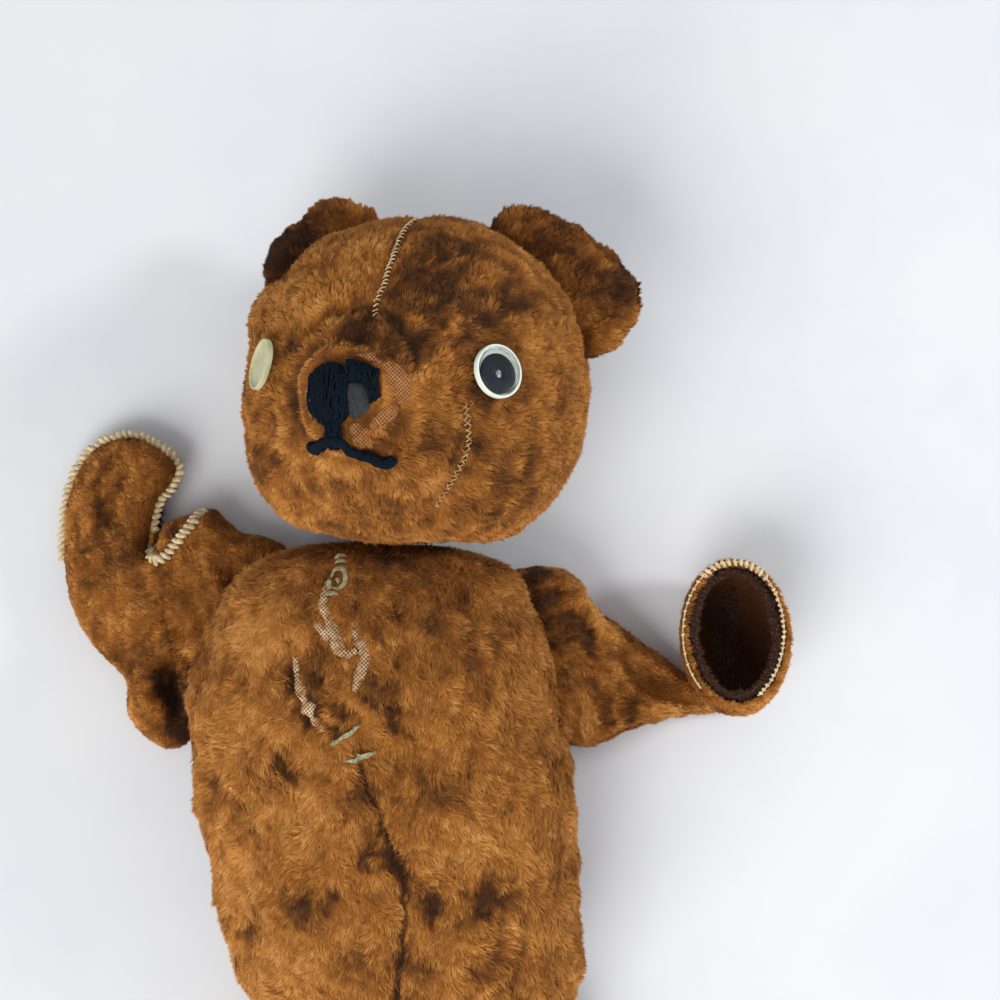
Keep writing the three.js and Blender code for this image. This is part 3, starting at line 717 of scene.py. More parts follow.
def cover(skin, nodes, count, seed, comb, stain, density, slot_name, pile_material, skin_material, **how):
    """Grows a pile on a skin and finishes both."""
    name = skin.name.replace("_plush", "").replace("_sleeve", "_arm")
    marks = stain(points_of(skin), normals_of(skin)).astype(np.float32)
    skin.data.attributes.new("stain", "FLOAT", "POINT").data.foreach_set("value", marks)
    pile = grow_pile(f"{name}_pile", skin, count, seed, comb, stain, density, **how)
    wear_finish(skin, skin_material)
    wear_finish(pile, pile_material)
    keep(skin, nodes)
    keep(pile, [])


plush_pile = pile_finish("plush_pile")
ear_pile = pile_finish("ear_pile", darker=0.2)
plush_backing = backing_finish("plush_backing")
ear_backing = backing_finish("ear_backing", darker=0.2)


SOFT_EDGE = 0.6


def off_the_table(places, normals, floor_height=0.004):
    """Where pile can be seen: not on the cloth that lies on the table."""
    lying = (places[:, 2] < floor_height) & (normals[:, 2] < -0.5)
    return np.where(lying, 0.02, 1.0)


def clear_of(points, lines):
    """0 within each line's reach and 1 beyond it; a line is its points and its reach, in millimetres."""
    share = np.ones(len(points))
    for line, reach in lines:
        share *= np.clip((from_line(points, line) - reach) / SOFT_EDGE, 0.0, 1.0)
    return share


# %% [markdown]
# ## The head
#
# Three pieces of plush, two sides and a muzzle, sewn round firm stuffing. The seams pull grooves into it:
# one up the forehead, one down each cheek. Round the nose the pile is worn and the cloth lies in rings.

# %% Head
SKIN_INSET = 0.0018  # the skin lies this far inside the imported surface, and the pile stands over it
CAD_SKIN = 0.0033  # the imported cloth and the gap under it
NOSE_AT = np.array([-2.0, -9.0])
NOSE_HEIGHT = 66.0
CROWN_SEAM = [(7.6, 57), (7.4, 42), (6.2, 27), (3.5, 15), (0, 5)]
CHEEK_SEAM = [(32.8, -11), (33.1, -24), (28.8, -33), (20.8, -43)]
# Bare strips: points of a line, and its widths from end to end.
HEAD_BARE = [
    ([(12.5, 0.5), (15.5, -3), (16.5, -8), (15.8, -12)], (2.0, 5.0, 5.0, 1.5)),
    ([(15.0, -12.5), (11.5, -16.0), (8.5, -19.0)], (2.0, 3.4, 1.6)),
    ([(1.5, -18.0), (4.0, -21.0), (6.5, -24.5)], (1.5, 4.2, 2.0)),
    ([(-11.6, -2.0), (-13.6, -7.0), (-13.6, -12.0), (-11.8, -16.5)], (0.8, 2.0, 2.0, 0.8)),
    ([(3.0, 3.2), (7.5, 2.6), (11.5, 0.2)], (0.7, 1.6, 0.9)),
]
FACE_CLEAR = [
    ([(-8, -3), (-6, -14)], 5.5), ([(2, -3), (8, -6)], 4.5), ([(4, -9), (4, -12)], 4.5),
    ([(-3.5, -18), (-3.5, -24)], 2.2),
    ([(-14, -23.6), (-8.6, -23.8), (-2.5, -23.2), (3, -26), (8.6, -28.2), (13.2, -27.8)], 1.0),
    ([(13, -2), (16, -9), (12, -16)], 2.0), ([(3, -20), (6, -24)], 1.8), ([(-12.5, -4), (-13, -14)], 1.2),
]


def head_bare(places, normals):
    """How worn down the pile is: round the nose, along the bridge and by the stitched seams."""
    p = to_head(places)
    front = np.clip(p[:, 2] / 20, 0, 1)
    nose = np.linalg.norm(p[:, :2] - NOSE_AT, axis=1)
    worn = 0.75 * falloff(nose, 27) + 0.6 * falloff(from_line(p, CROWN_SEAM), 5)
    worn += 0.5 * falloff(from_line(p, CHEEK_SEAM), 4)
    return np.clip(worn, 0, 0.8) * front


# On the bear's drawing: x, y, reach and height.
HEAD_BULGES = [
    (-86, 68, 15, 5.0), (-88, 40, 22, 1.8), (-87, 16, 24, 3.0), (-76, -4, 22, 3.6), (-2, -8, 20, 2.2),
    (24, 34, 14, 1.2), (16, 8, 14, -1.5),
]
BROW_FOLD = [(-17, 13), (-13, 17), (-4, 18.5), (7, 17.5), (14, 12), (18.5, 6), (20, -2)]
FAR_CHEEK_SEAM = [(-x, y) for x, y in CHEEK_SEAM]
# Each seam's groove: its line, depth and width. The cloth stands up a little beside it.
HEAD_GROOVES = [(CROWN_SEAM, 1.8, 3.2), (CHEEK_SEAM, 1.8, 3.6), (FAR_CHEEK_SEAM, 1.2, 4.0)]
# The rings round the nose: how far out, and how high.
NOSE_RINGS = [(14.5, 1.5), (18.5, -1.5)]
RING_WIDTH = 2.2
FOLD_DEPTH, FOLD_WIDTH = 2.2, 2.2
HEAD_LUMPS = [(0.8, 30.0), (0.5, 12.0)]


def sculpt_head(places):
    """Grooves, dents and rings, on the head's drawing."""
    p = to_head(places)
    front = np.clip(p[:, 2] / 20, 0, 1)
    move = np.zeros(len(p))
    for seam, depth, width in HEAD_GROOVES:
        distance = from_line(p, seam)
        move -= depth * ridge(distance, width) * front
        move += 0.5 * ridge(distance - 6, 4) * front
    nose = np.linalg.norm(p[:, :2] - NOSE_AT, axis=1)
    move += 1.5 * falloff(nose, 30) * front
    for far, high in NOSE_RINGS:
        move += high * ridge(nose - far, RING_WIDTH) * front
    move -= FOLD_DEPTH * ridge(from_line(p, BROW_FOLD), FOLD_WIDTH) * front
    move += bulged(to_bear(places), HEAD_BULGES)
    move += rumpled(p, HEAD_LUMPS, 5)
    return flatten_bottom(on_head(p + unit(p) * move[:, None]))


def head_comb(places, normals):
    """The pile runs out from the nose, and down and back over the rest of the head."""
    p = to_head(places)
    away = p - np.array([*NOSE_AT, NOSE_HEIGHT])
    return unit(away) @ HEAD_AXES.T


def head_stain_and_shade(places, normals):
    """Painted shade darkens the brow's fold and the furrow round the nose, and the raised ring inside it is
    paler.
    """
    p = to_head(places)
    nose = np.linalg.norm(p[:, :2] - NOSE_AT, axis=1)
    # Painted shade in the brow's fold and in the furrow round the nose; the raised ring inside the furrow is
    # made paler.
    marks = patchiness(p, HEAD_PATCHES, 11) + 0.55 * ridge(from_line(p, BROW_FOLD), 1.6)
    marks += 0.25 * ridge(nose - 19, 2.0) - 0.4 * ridge(nose - 14.8, 1.0)
    return (marks + 0.07) * np.clip(0.4 + p[:, 2] / 40, 0.3, 1)


def stuffed_skin(name, node, cell, cap, sculpt):
    """The skin of a stuffed piece, swelled, made finer, and sculpted."""
    skin = skin_from(name, node, cell, CAD_SKIN - SKIN_INSET)
    swell(skin, cap)
    apply_modifier(skin, "SUBSURF", levels=1, render_levels=1)
    move_points(skin, sculpt(points_of(skin)))
    print(name, "skin", len(skin.data.polygons), "faces")
    return skin


HEAD_CELL, HEAD_SWELL = 0.0042, 0.001
head_skin = stuffed_skin("head_plush", "head_stuffing", HEAD_CELL, HEAD_SWELL, sculpt_head)


def head_density(places, normals):
    """The pile is thickest in front, and kept off the nose, mouth and bare strips."""
    p = to_head(places)
    front = np.clip(0.45 + p[:, 2] / 60, 0.35, 1.0)
    clear = np.where(p[:, 2] > 0, clear_of(p, FACE_CLEAR), 1)
    return front * clear * off_the_table(places, normals)


cover(head_skin, ["head_left_panel", "head_right_panel", "head_muzzle_panel", "head_stuffing"], 190000, 21,
      head_comb, head_stain_and_shade, head_density, "plush_coat", plush_pile, plush_backing, length=2.3, width=0.42,
      bare=head_bare)

# %% [markdown]
# ## The body
#
# Two long halves of plush, sewn down the front and back, round stuffing that has settled. The seam down the
# middle is a shallow groove, and the cloth has soft lumps where the stuffing has bunched.

# %% Body
BODY_BARE = [
    ([(-57.3, -27.4), (-58.2, -34.4), (-56, -39.3), (-53.1, -47.3), (-49.9, -50.2), (-46.7, -48.9)],
     (1.6, 2.4, 2.6, 3.0, 2.8, 1.6)),
    ([(-60.5, -40.5), (-58, -43), (-55.0, -45.5)], (1.2, 2.2, 2.2)),
    ([(-47.6, -42.5), (-46.4, -46), (-44.4, -48.7), (-44.1, -52.5), (-45.7, -57.3), (-47.3, -62.1)],
     (1.2, 2.2, 2.8, 2.6, 2.4, 1.4)),
    ([(-66.9, -51.5), (-66.3, -57.9), (-64.4, -63.4), (-62.4, -67.6), (-60.2, -71.4), (-57.3, -74.3)],
     (1.0, 2.0, 2.4, 2.6, 2.4, 1.0)),
]
REPAIR_MIDDLE = [(-54, -79.4), (-50.6, -76.4), (-45, -73)]
REPAIR_LOW = [(-50.4, -84.2), (-46, -83.6), (-40, -81)]
# The pile is kept off these lines, for the reach beside each.
BODY_CLEAR = [(line, 0.35 * max(widths)) for line, widths in BODY_BARE]
BODY_CLEAR += [(REPAIR_MIDDLE, 1.0), (REPAIR_LOW, 1.0), ([(-54, -21), (-54, -25), (-54.4, -31)], 2.2)]
BODY_SEAM = [(-47, -14), (-47, -40), (-46.5, -86), (-37.3, -106), (-31.5, -121), (-31.5, -145), (-34, -161),
             (-33, -203)]
# On the bear's drawing: x, y, reach and height.
BODY_BULGES = [
    (2, -20, 20, 5.0), (24, -95, 30, 1.6), (-80, -160, 26, 4.0), (-100, -122, 24, -1.6),
    (25, -140, 18, -1.0),
]
# Puckers where the repairs draw the cloth in: a line, its depth and its width.
BODY_FOLDS = [
    ([(-70, -45), (-68, -60), (-62, -72), (-54, -80)], 1.4, 2.2),
    ([(-58, -48), (-52, -54), (-46, -56), (-40, -50)], 1.3, 2.4),
    ([(-36, -30), (-32, -44), (-34, -60), (-40, -72)], 1.3, 2.6),
    ([(-64, -34), (-58, -52), (-56, -66)], 1.0, 2.2), ([(-78, -78), (-66, -88), (-52, -90)], 1.0, 2.6),
    ([(-30, -78), (-24, -92), (-30, -104)], 0.9, 2.4), ([(-12, -34), (-8, -52), (-14, -70)], 0.8, 3.0),
    ([(-84, -26), (-80, -42), (-84, -60)], 1.0, 3.0), ([(-92, -40), (-90, -58)], 0.9, 2.6),
    ([(-20, -140), (-8, -136), (6, -128)], 0.9, 2.2), ([(-66, -118), (-56, -124), (-48, -134)], 0.9, 2.4),
]


BODY_MIDDLE = np.array([-42.0, 0.0, 38.0])
BODY_LUMPS = [(1.1, 42.0), (0.8, 17.0), (0.5, 9.0)]
BODY_CELL, BODY_SWELL = 0.0048, 0.0015  # the legs have them too


def sculpt_body(places):
    """The seam's groove, soft lumps and puckers, on the bear's drawing."""
    p = to_bear(places)
    front = np.clip((p[:, 2] - 30) / 30, 0, 1)
    outward = unit((p - BODY_MIDDLE) * [1, 0.15, 1])
    seam = from_line(p, BODY_SEAM)
    move = -1.8 * ridge(seam, 2.6) * front + 0.6 * ridge(seam - 7, 5) * front
    move += rumpled(p, BODY_LUMPS, 8)
    for line, depth, width in BODY_FOLDS:
        move -= depth * ridge(from_line(p, line), width) * front
    move += bulged(p, BODY_BULGES)
    return flatten_bottom(on_bear(p + outward * move[:, None]))


def body_comb(places, normals):
    """The pile runs down the body, and a little out to the sides."""
    p = to_bear(places)
    down = np.zeros_like(p)
    down[:, 1] = -1.0
    down[:, 0] = (p[:, 0] + 44) * 0.008
    down[:, 2] = -0.2
    return down


def body_stain_and_shading(places, normals):
    """Painted shade darkens the puckers, the seam below the chest is darker, and painted light makes the
    whole body paler, the bear's right side most.
    """
    p = to_bear(places)
    low = np.clip((-74 - p[:, 1]) / 12, 0, 1)
    # worn here is painted light: the whole body is made paler, and the bear's right side, which faces the
    # window, paler still.
    worn = 0.12 + 0.2 * np.clip((-45 - p[:, 0]) / 35, 0, 1)
    marks = patchiness(p, BODY_PATCHES, 31) - worn + 0.85 * ridge(from_line(p, BODY_SEAM), 1.1) * low
    # Painted shade in the puckers, darker where a fold is deeper.
    for line, depth, width in BODY_FOLDS:
        marks += 0.22 * depth * ridge(from_line(p, line), 0.6 * width)
    return marks * np.clip(normals[:, 2] + 0.6, 0.3, 1)


def body_density(places, normals):
    """The pile is thickest on top, and kept off the repairs and the bare strips."""
    p = to_bear(places)
    clear = np.where(normals[:, 2] > 0.3, clear_of(p, BODY_CLEAR), 1)
    return np.clip(0.6 + 0.5 * normals[:, 2], 0.22, 1.0) * clear * off_the_table(places, normals)


body_skin = stuffed_skin("body_plush", "body_stuffing", BODY_CELL, BODY_SWELL, sculpt_body)
cover(body_skin, ["body_left_panel", "body_right_panel", "body_stuffing"], 190000, 41, body_comb, body_stain_and_shading,
      body_density, "plush_coat", plush_pile, plush_backing, length=2.6, width=0.5)

# %% [markdown]
# ## Legs
#
# Two straight legs on the sewn hips, each of two cloths round stuffing, with a flat sole at the end. They
# are plain and as worn as the rest.

# %% Legs
LEG_STAINS = [
    (-75.0, -172.0, 9, 0.8), (-90.0, -182.0, 10, 0.6), (0.0, -205.0, 9, 0.5), (12.0, -240.0, 12, 0.5),
    (-8.0, -270.0, 12, 0.45), (-80.0, -250.0, 12, 0.5), (-95.0, -277.0, 11, 0.45),
]
LEG_LUMPS = [(0.9, 26.0), (0.4, 11.0)]


def leg_stain_and_shade(places, normals):
    return patchiness(to_bear(places), LEG_STAINS, 51)


def leg_comb(places, normals):
    down = np.zeros_like(places)
    down[:, 1] = -1.0
    down[:, 2] = -0.3
    return down


def sculpt_leg(places, seed):
    p = to_bear(places)
    middle = p.mean(0) * [1, 0, 1]
    outward = unit((p - middle) * [1, 0, 1])
    move = rumpled(p, LEG_LUMPS, seed)
    return flatten_bottom(on_bear(p + outward * move[:, None]))


# %% [markdown]
# ## Cloth that lies open or folded
#
# The ears are flaps of two cloths, and the arms are sleeves whose stuffing is gone, so they lie in folds. A
# flap is drawn by its root and its edge. Folds are ridges and furrows, raised and pressed along lines drawn
# from above.

# %% Flaps and folds
HIDDEN_SHARE = 0.04
SEEN_REACH = 0.05
CURVE_STEPS = 16
FLAP_CELLS = 30, 20


def run_of(points):
    """How far along a line each of its points is."""
    return np.concatenate([[0], np.cumsum(np.linalg.norm(np.diff(points, axis=0), axis=1))])


def at_run(where, run, values):
    """What the values along a line are at some other runs."""
    return np.stack([np.interp(where, run, column) for column in values.T], -1)


def smooth_line(points, count):
    """A smooth curve through the points, evenly stepped."""
    points = np.asarray(points, float)
    padded = np.vstack([2 * points[0] - points[1], points, 2 * points[-1] - points[-2]])
    fine = []
    for i in range(len(points) - 1):
        a, b, c, d = padded[i:i + 4]
        for t in np.linspace(0, 1, CURVE_STEPS, endpoint=False):
            fine.append(0.5 * (2 * b + (c - a) * t + (2 * a - 5 * b + 4 * c - d) * t**2
                               + (3 * b - a - 3 * c + d) * t**3))
    fine = np.array([*fine, points[-1]])
    run = run_of(fine)
    return at_run(np.linspace(0, run[-1], count), run, fine)


def grid_mesh(name, layers):
    """A closed mesh of grids of points that share their rims."""
    points, faces = [], []
    for layer, flip in layers:
        rows, columns = layer.shape[:2]
        start = sum(len(p) for p in points)
        points.append(layer.reshape(-1, 3))
        for i in range(rows - 1):
            for j in range(columns - 1):
                corner = start + i * columns + j
                quad = (corner, corner + 1, corner + columns + 1, corner + columns)
                faces.append(quad[::-1] if flip else quad)
    thing = new_piece(name, np.vstack(points), faces)
    mend(thing, merge=2 * MERGE)
    return thing


def flap(name, root, edge, thick, bow):
    """A flap of two cloths between a root line and an edge line, in millimetres; bow lifts its middle."""
    along, out = FLAP_CELLS
    root_line, edge_line = smooth_line(root, along), smooth_line(edge, along)
    v = np.linspace(0, 1, out)[None, :, None]
    sheet = root_line[:, None] * (1 - v) + edge_line[:, None] * v
    u = np.linspace(0, 1, along)[:, None]
    v = v[..., 0]
    rounded = (1 - (2 * u - 1) ** 6) * (1 - v**6)
    half = thick / 2 * np.sqrt(np.clip(rounded, 0, 1))
    normal = unit(np.cross(np.gradient(sheet, axis=0), np.gradient(sheet, axis=1)))
    normal *= np.where(normal[..., 2:].mean() < 0, -1, 1)
    sheet = sheet + normal * (bow * np.sin(math.pi * u) * np.sin(math.pi * v * 0.8))[..., None]
    layers = []
    for side in (1, -1):
        cloth = (sheet + normal * half[..., None] * side).reshape(-1, 3)
        layers.append((on_bear(cloth).reshape(along, out, 3), side < 0))
    return grid_mesh(name, layers)


def folded(points, folds):
    """Raises (or presses) points along lines seen from above: each fold is a line, a height and a width."""
    lifted = points.copy()
    for line, height, width in folds:
        distance, along = line_distance(points[:, :2], line)
        ends = np.clip(np.minimum(along, 1 - along) * 5, 0.15, 1)
        lifted[:, 2] += height * ridge(distance, width) * ends * np.clip(points[:, 2] / 8, 0, 1)
    return lifted


def mark_seen(skin):
    """Marks each vertex with 1 if nothing of the same skin faces it close by: its pile can be seen."""
    tree = BVHTree.FromObject(skin, bpy.context.evaluated_depsgraph_get())
    seen = np.ones(len(skin.data.vertices))
    for vertex in skin.data.vertices:
        start = vertex.co + vertex.normal * 0.0008
        if tree.ray_cast(start, vertex.normal, SEEN_REACH)[0] is not None:
            seen[vertex.index] = HIDDEN_SHARE
    skin.data.attributes.new("seen", "FLOAT", "POINT").data.foreach_set("value", seen)


# %% Ears
EAR_STAINS_LEFT = [
    (18, 88, 14, 0.55), (38, 74, 14, 0.55), (8, 95, 8, 0.3), (44, 62, 8, -0.4), (36, 52, 7, -0.6),
]
# The right ear lies edge-on: its two darkest patches are partly stain and partly painted shade.
EAR_STAINS_AND_SHADE_RIGHT = [(-78, 84, 16, 0.9), (-68, 96, 11, 0.7), (-50, 102, 6, -0.5)]
LEFT_EAR_ROOT = [(-6, 84, 61), (3, 78, 60), (12, 70, 60), (20, 60, 59), (23, 50, 58), (24, 43.5, 58)]
LEFT_EAR_EDGE = [
    (-2.5, 90, 61), (0.5, 96.5, 62), (8, 98.5, 63), (17, 95.5, 62), (27, 90.5, 60), (37, 84.5, 58),
    (43, 77.5, 57), (47.5, 70, 57), (46.8, 61.5, 58), (42, 54.5, 59), (35, 50, 60), (30, 47, 59),
]
RIGHT_EAR_ROOT = [(-80, 66, 30), (-74, 75, 32), (-66, 84, 34), (-58, 89, 36), (-48, 92, 38), (-42, 92, 40)]
RIGHT_EAR_EDGE = [(-84, 81, 33), (-82, 87, 34), (-76, 94, 36), (-69.5, 99.5, 38), (-63, 103.5, 40),
                  (-57, 105, 41), (-50.5, 103.5, 42), (-44, 100, 42)]
EAR_LUMPS = [(0.9, 17.0), (0.5, 8.0)]
HEAD_MIDDLE = np.array([-28.0, 41.0, 50.0])  # near it, on the bear's drawing


def even_density(places, normals):
    return np.ones(len(places))


def ear_comb(places, normals):
    """The pile of an ear runs out from the head."""
    return to_bear(places) - HEAD_MIDDLE


ears = {
    "left_ear": (LEFT_EAR_ROOT, LEFT_EAR_EDGE, 6.0, 2.0, EAR_STAINS_LEFT, 61),
    "right_ear": (RIGHT_EAR_ROOT, RIGHT_EAR_EDGE, 8.0, 2.5, EAR_STAINS_AND_SHADE_RIGHT, 71),
}
for ear, (root, edge, thick, bow, stains, seed) in ears.items():
    skin = flap(f"{ear}_plush", root, edge, thick, bow)
    places = to_bear(points_of(skin))
    places += unit(normals_of(skin)) * rumpled(places, EAR_LUMPS, seed)[:, None]
    move_points(skin, on_bear(places))

    def ear_stain_and_shade(places, normals, stains=stains, seed=seed):
        return patchiness(to_bear(places), stains, seed)

    cover(skin, [f"{ear}_front", f"{ear}_back"], 30000, seed, ear_comb, ear_stain_and_shade, even_density, "plush_ear",
          ear_pile, ear_backing, length=2.3, width=0.45)


# %% [markdown]
# ## Emptied sleeves
#
# An arm that has lost its stuffing is a limp bag of two cloths. Each sleeve is drawn as an outline,
# extruded and remeshed, and then laid down: its top goes to a height that is given at each place, its rim
# is rounded, and its folds are raised and pressed.

# %% Emptied sleeves
OUTLINE_STEPS = 150
DRAWN_HIGH = 10.0
UNDERSIDE = 0.4
RIM_ROUND = 5.0
SEAM_SHARE = 0.35  # how high the rim lies, as a share of the sleeve's height there
FOLD_FROM = 20.0  # a height at which a fold has its full size
SLEEVE_LUMPS = [(0.7, 17.0), (0.45, 8.0)]
LOWEST = 0.0003  # a sleeve is held this far over the table


def drawn_solid(name, outline):
    """An outline, in millimetres, extruded from the table."""
    bottom = [(x, y, 0.0) for x, y in outline]
    top = [(x, y, DRAWN_HIGH) for x, y in outline]
    count = len(outline)
    faces = [tuple(range(count))[::-1], tuple(range(count, 2 * count))]
    faces += [(i, (i + 1) % count, count + (i + 1) % count, count + i) for i in range(count)]
    thing = new_piece(name, on_bear(bottom + top), faces)
    only(thing)
    bpy.ops.object.mode_set(mode="EDIT")
    bpy.ops.mesh.select_all(action="SELECT")
    bpy.ops.mesh.quads_convert_to_tris()
    bpy.ops.mesh.normals_make_consistent(inside=False)
    bpy.ops.object.mode_set(mode="OBJECT")
    return thing


def limp_sleeve(name, corners, height_at, folds, cell, seed):
    """A closed limp bag inside an outline through the corners."""
    outline = smooth_line([*corners, corners[0]], OUTLINE_STEPS)
    sleeve = drawn_solid(name, outline[:-1])
    apply_modifier(sleeve, "REMESH", mode="VOXEL", voxel_size=cell * MM)
    apply_modifier(sleeve, "SMOOTH", factor=0.5, iterations=2)
    places = to_bear(points_of(sleeve))
    flat = places[:, :2]
    share = np.clip(places[:, 2] / DRAWN_HIGH, 0, 1)
    distance, _ = line_distance(flat, outline)
    rim = np.sqrt(1 - (1 - np.clip(distance / RIM_ROUND, 0, 1)) ** 2)
    high = height_at(flat)
    seam = SEAM_SHARE * high
    low = seam * (1 - rim) + UNDERSIDE
    top = seam + (high - seam) * rim
    laid = np.column_stack([flat, np.full(len(flat), FOLD_FROM)])
    lifted = folded(laid, folds)[:, 2] - FOLD_FROM
    lifted += rumpled(laid, SLEEVE_LUMPS, seed)
    places[:, 2] = low + share * (top - low) + lifted * share * rim
    move_points(sleeve, flatten_bottom(on_bear(places), LOWEST))
    return sleeve


SHOULDERS = np.array([-44.0, -50.0, 15.0])


def sleeve_comb(places, normals):
    """The pile of a sleeve runs out from the middle of the body."""
    p = to_bear(places)
    away = p - SHOULDERS
    away[:, 2] *= 0.2
    return away


def visible_density(places, normals):
    """A sleeve's pile is thickest where it faces up."""
    return np.clip(0.7 + 0.4 * normals[:, 2], 0.3, 1.0) * off_the_table(places, normals, 0.003)


# %% [markdown]
# ## The left arm
#
# The sleeve is gathered where it is sewn to the body, and narrows to a twisted neck. Its paw has curled up
# into a cup, which is an egg's shell cut off by a sloping rim, sewn on to the sleeve's end.

# %% Left arm
CUP_AT = np.array([84.0, -49.2, 29.5])
CUP_RADII = np.array([19.3, 27.8, 29.0])
CUP_RIM_HEIGHT = 8.0
CUP_SLOPE = Matrix.Rotation(math.radians(-12), 3, "Y") @ Matrix.Rotation(math.radians(-18), 3, "X")
CUP_WALL = 2.2
CUT_BLOCK = [200, 200, 100]
LEFT_OUTLINE = [
    (-6, -40), (-4, -32), (2, -28), (9, -25.6), (17, -25), (25, -26.8), (30.5, -31), (33, -37), (38, -42.5),
    (52, -52.5), (62, -59.5), (71, -66), (80, -71), (92, -72), (102, -69.5), (103, -72), (97, -76.5),
    (88, -79.6), (70, -81), (56, -83.4), (47, -86), (39, -89.6), (32, -90.8), (24, -89.5), (12, -84),
    (0, -70),
]
LEFT_HEIGHTS = ([0, 20, 33, 45, 56, 68, 84, 105], [30, 29, 26, 21, 17, 13, 11, 10])
LEFT_FOLDS = [
    ([(30, -53), (38, -60), (47, -68), (54, -73), (66, -77), (84, -78)], 4.6, 1.8),
    ([(35, -51), (43, -56), (54, -64), (66, -71)], -3.2, 2.6),
    ([(22, -58), (34, -66), (46, -75)], -3.0, 2.6),
    ([(31, -47), (31.5, -51)], -4.0, 3.0),
    ([(16, -40), (27, -48), (31, -56)], 1.8, 3.0),
    ([(27, -30), (30, -38), (29, -46)], 2.0, 2.2),
    ([(18, -29), (21, -38), (25, -46)], -2.0, 1.8),
    ([(10, -30), (15, -42), (20, -52)], 1.4, 2.0),
    ([(33, -68), (36, -78), (36, -88)], -2.2, 1.6),
    ([(28, -70), (30, -80), (30, -88)], 1.8, 1.8),
    ([(41, -74), (42, -80), (40, -87)], 1.6, 1.8),
]
LEFT_ARM_STAINS = [
    (16, -34, 12, 0.8), (24, -48, 12, 0.7), (12, -56, 12, 0.5), (31, -50, 6, 0.5), (28, -66, 8, 0.4),
    (13, -29, 7, 0.7), (19, -37, 7, 0.6), (25, -44, 7, 0.4), (8, -40, 6, 0.6), (50, -72, 5, 0.4),
    (36, -72, 6, 0.5), (45, -78, 6, 0.4), (22, -84, 10, -0.35), (36, -82, 7, 0.3), (50, -62, 8, 0.3),
    (60, -76, 8, -0.35), (74, -79, 8, -0.3), (98, -70, 9, 0.3), (66, -67, 8, 0.2), (40, -47, 7, -0.2),
]


def egg(name, radii):
    """A closed egg shape at the curled paw."""
    bpy.ops.object.select_all(action="DESELECT")
    bpy.ops.mesh.primitive_uv_sphere_add(segments=72, ring_count=48, radius=1)
    shape = bpy.context.object
    shape.name = name
    move_points(shape, on_bear(points_of(shape) * radii + CUP_AT))
    return shape


def cut_off(shape, tool):
    """Takes one solid away from another, and deletes it."""
    apply_modifier(shape, "BOOLEAN", operation="DIFFERENCE", object=tool, solver="EXACT")
    bpy.data.objects.remove(tool)


def paw_cup():
    """The outer cloth of the curled paw."""
    cup = egg("paw_cup", CUP_RADII)
    cut_off(cup, egg("inside", CUP_RADII - CUP_WALL))
    bpy.ops.object.select_all(action="DESELECT")
    bpy.ops.mesh.primitive_cube_add(size=1)
    above = bpy.context.object
    block = points_of(above) * CUT_BLOCK + [0, 0, CUT_BLOCK[2] / 2 + CUP_RIM_HEIGHT]
    move_points(above, on_bear(block @ np.array(CUP_SLOPE).T + CUP_AT))
    cut_off(cup, above)
    return cup


def left_height(flat):
    return np.interp(flat[:, 0], *LEFT_HEIGHTS)


left_sleeve = limp_sleeve("left_sleeve", LEFT_OUTLINE, left_height, LEFT_FOLDS, 1.6, 81)
curled = paw_cup()
only(left_sleeve)
curled.select_set(True)
bpy.ops.object.join()
apply_modifier(left_sleeve, "REMESH", mode="VOXEL", voxel_size=1.3 * MM)
apply_modifier(left_sleeve, "SMOOTH", factor=0.5, iterations=3)
places = to_bear(points_of(left_sleeve))
places += unit(normals_of(left_sleeve)) * (0.3 * waves(places, 9.0, 82))[:, None]
move_points(left_sleeve, flatten_bottom(on_bear(places), LOWEST))
mark_seen(left_sleeve)
print("left sleeve", len(left_sleeve.data.polygons), "faces")


def left_arm_stain_and_shade(places, normals):
    return patchiness(to_bear(places), LEFT_ARM_STAINS, 83) - 0.24


cover(left_sleeve, ["left_arm_inner_panel", "left_arm_outer_panel"], 70000, 85, sleeve_comb, left_arm_stain_and_shade,
      visible_density, "plush_coat", plush_pile, plush_backing, length=2.0, width=0.45)

# %% [markdown]
# ## The right arm
#
# This sleeve is crumpled flat. The paw turns back on itself, so the whipstitched edge runs into a deep
# notch, and below it a fold of cloth bulges out.

# %% Right arm
RIGHT_EDGE = [
    (-108.5, -4.2), (-113.6, -10.6), (-119, -18), (-123.5, -21.6), (-128, -20.9), (-129.9, -14.7),
    (-127.4, -1), (-123, 5), (-120.4, 11.8), (-124, 16.9), (-130.4, 21), (-137.8, 23.2), (-147.4, 21.4),
    (-156.4, 13.4), (-161.4, -2), (-161.8, -22),
]
RIGHT_OUTLINE = [
    (-107, -3.0), (-112, -4.6), (-118, -6.2), (-123.5, -8), (-126, -13), (-127.2, -18.5), (-129.4, -18.5),
    (-129.6, -13), (-127, -1), (-122.6, 5), (-120, 11.8), (-123.6, 17.4), (-130.2, 21.6), (-137.8, 23.8),
    (-147.8, 21.9), (-157, 13.6), (-162, -2), (-162.4, -22), (-160, -38), (-152, -53), (-143, -62),
    (-138.5, -68), (-139.6, -76), (-137.6, -83), (-132, -89.5), (-125, -93.5), (-119.5, -92.5),
    (-115.5, -88), (-112, -72), (-104, -60), (-92, -56), (-80, -50), (-77, -34), (-80, -19), (-90, -13.5),
    (-96, -13), (-101.5, -9),
]
DOME_AT = np.array([-124.0, -30.0])
DOME_RADII = np.array([52.0, 72.0])
DOME_HIGH = 24.0
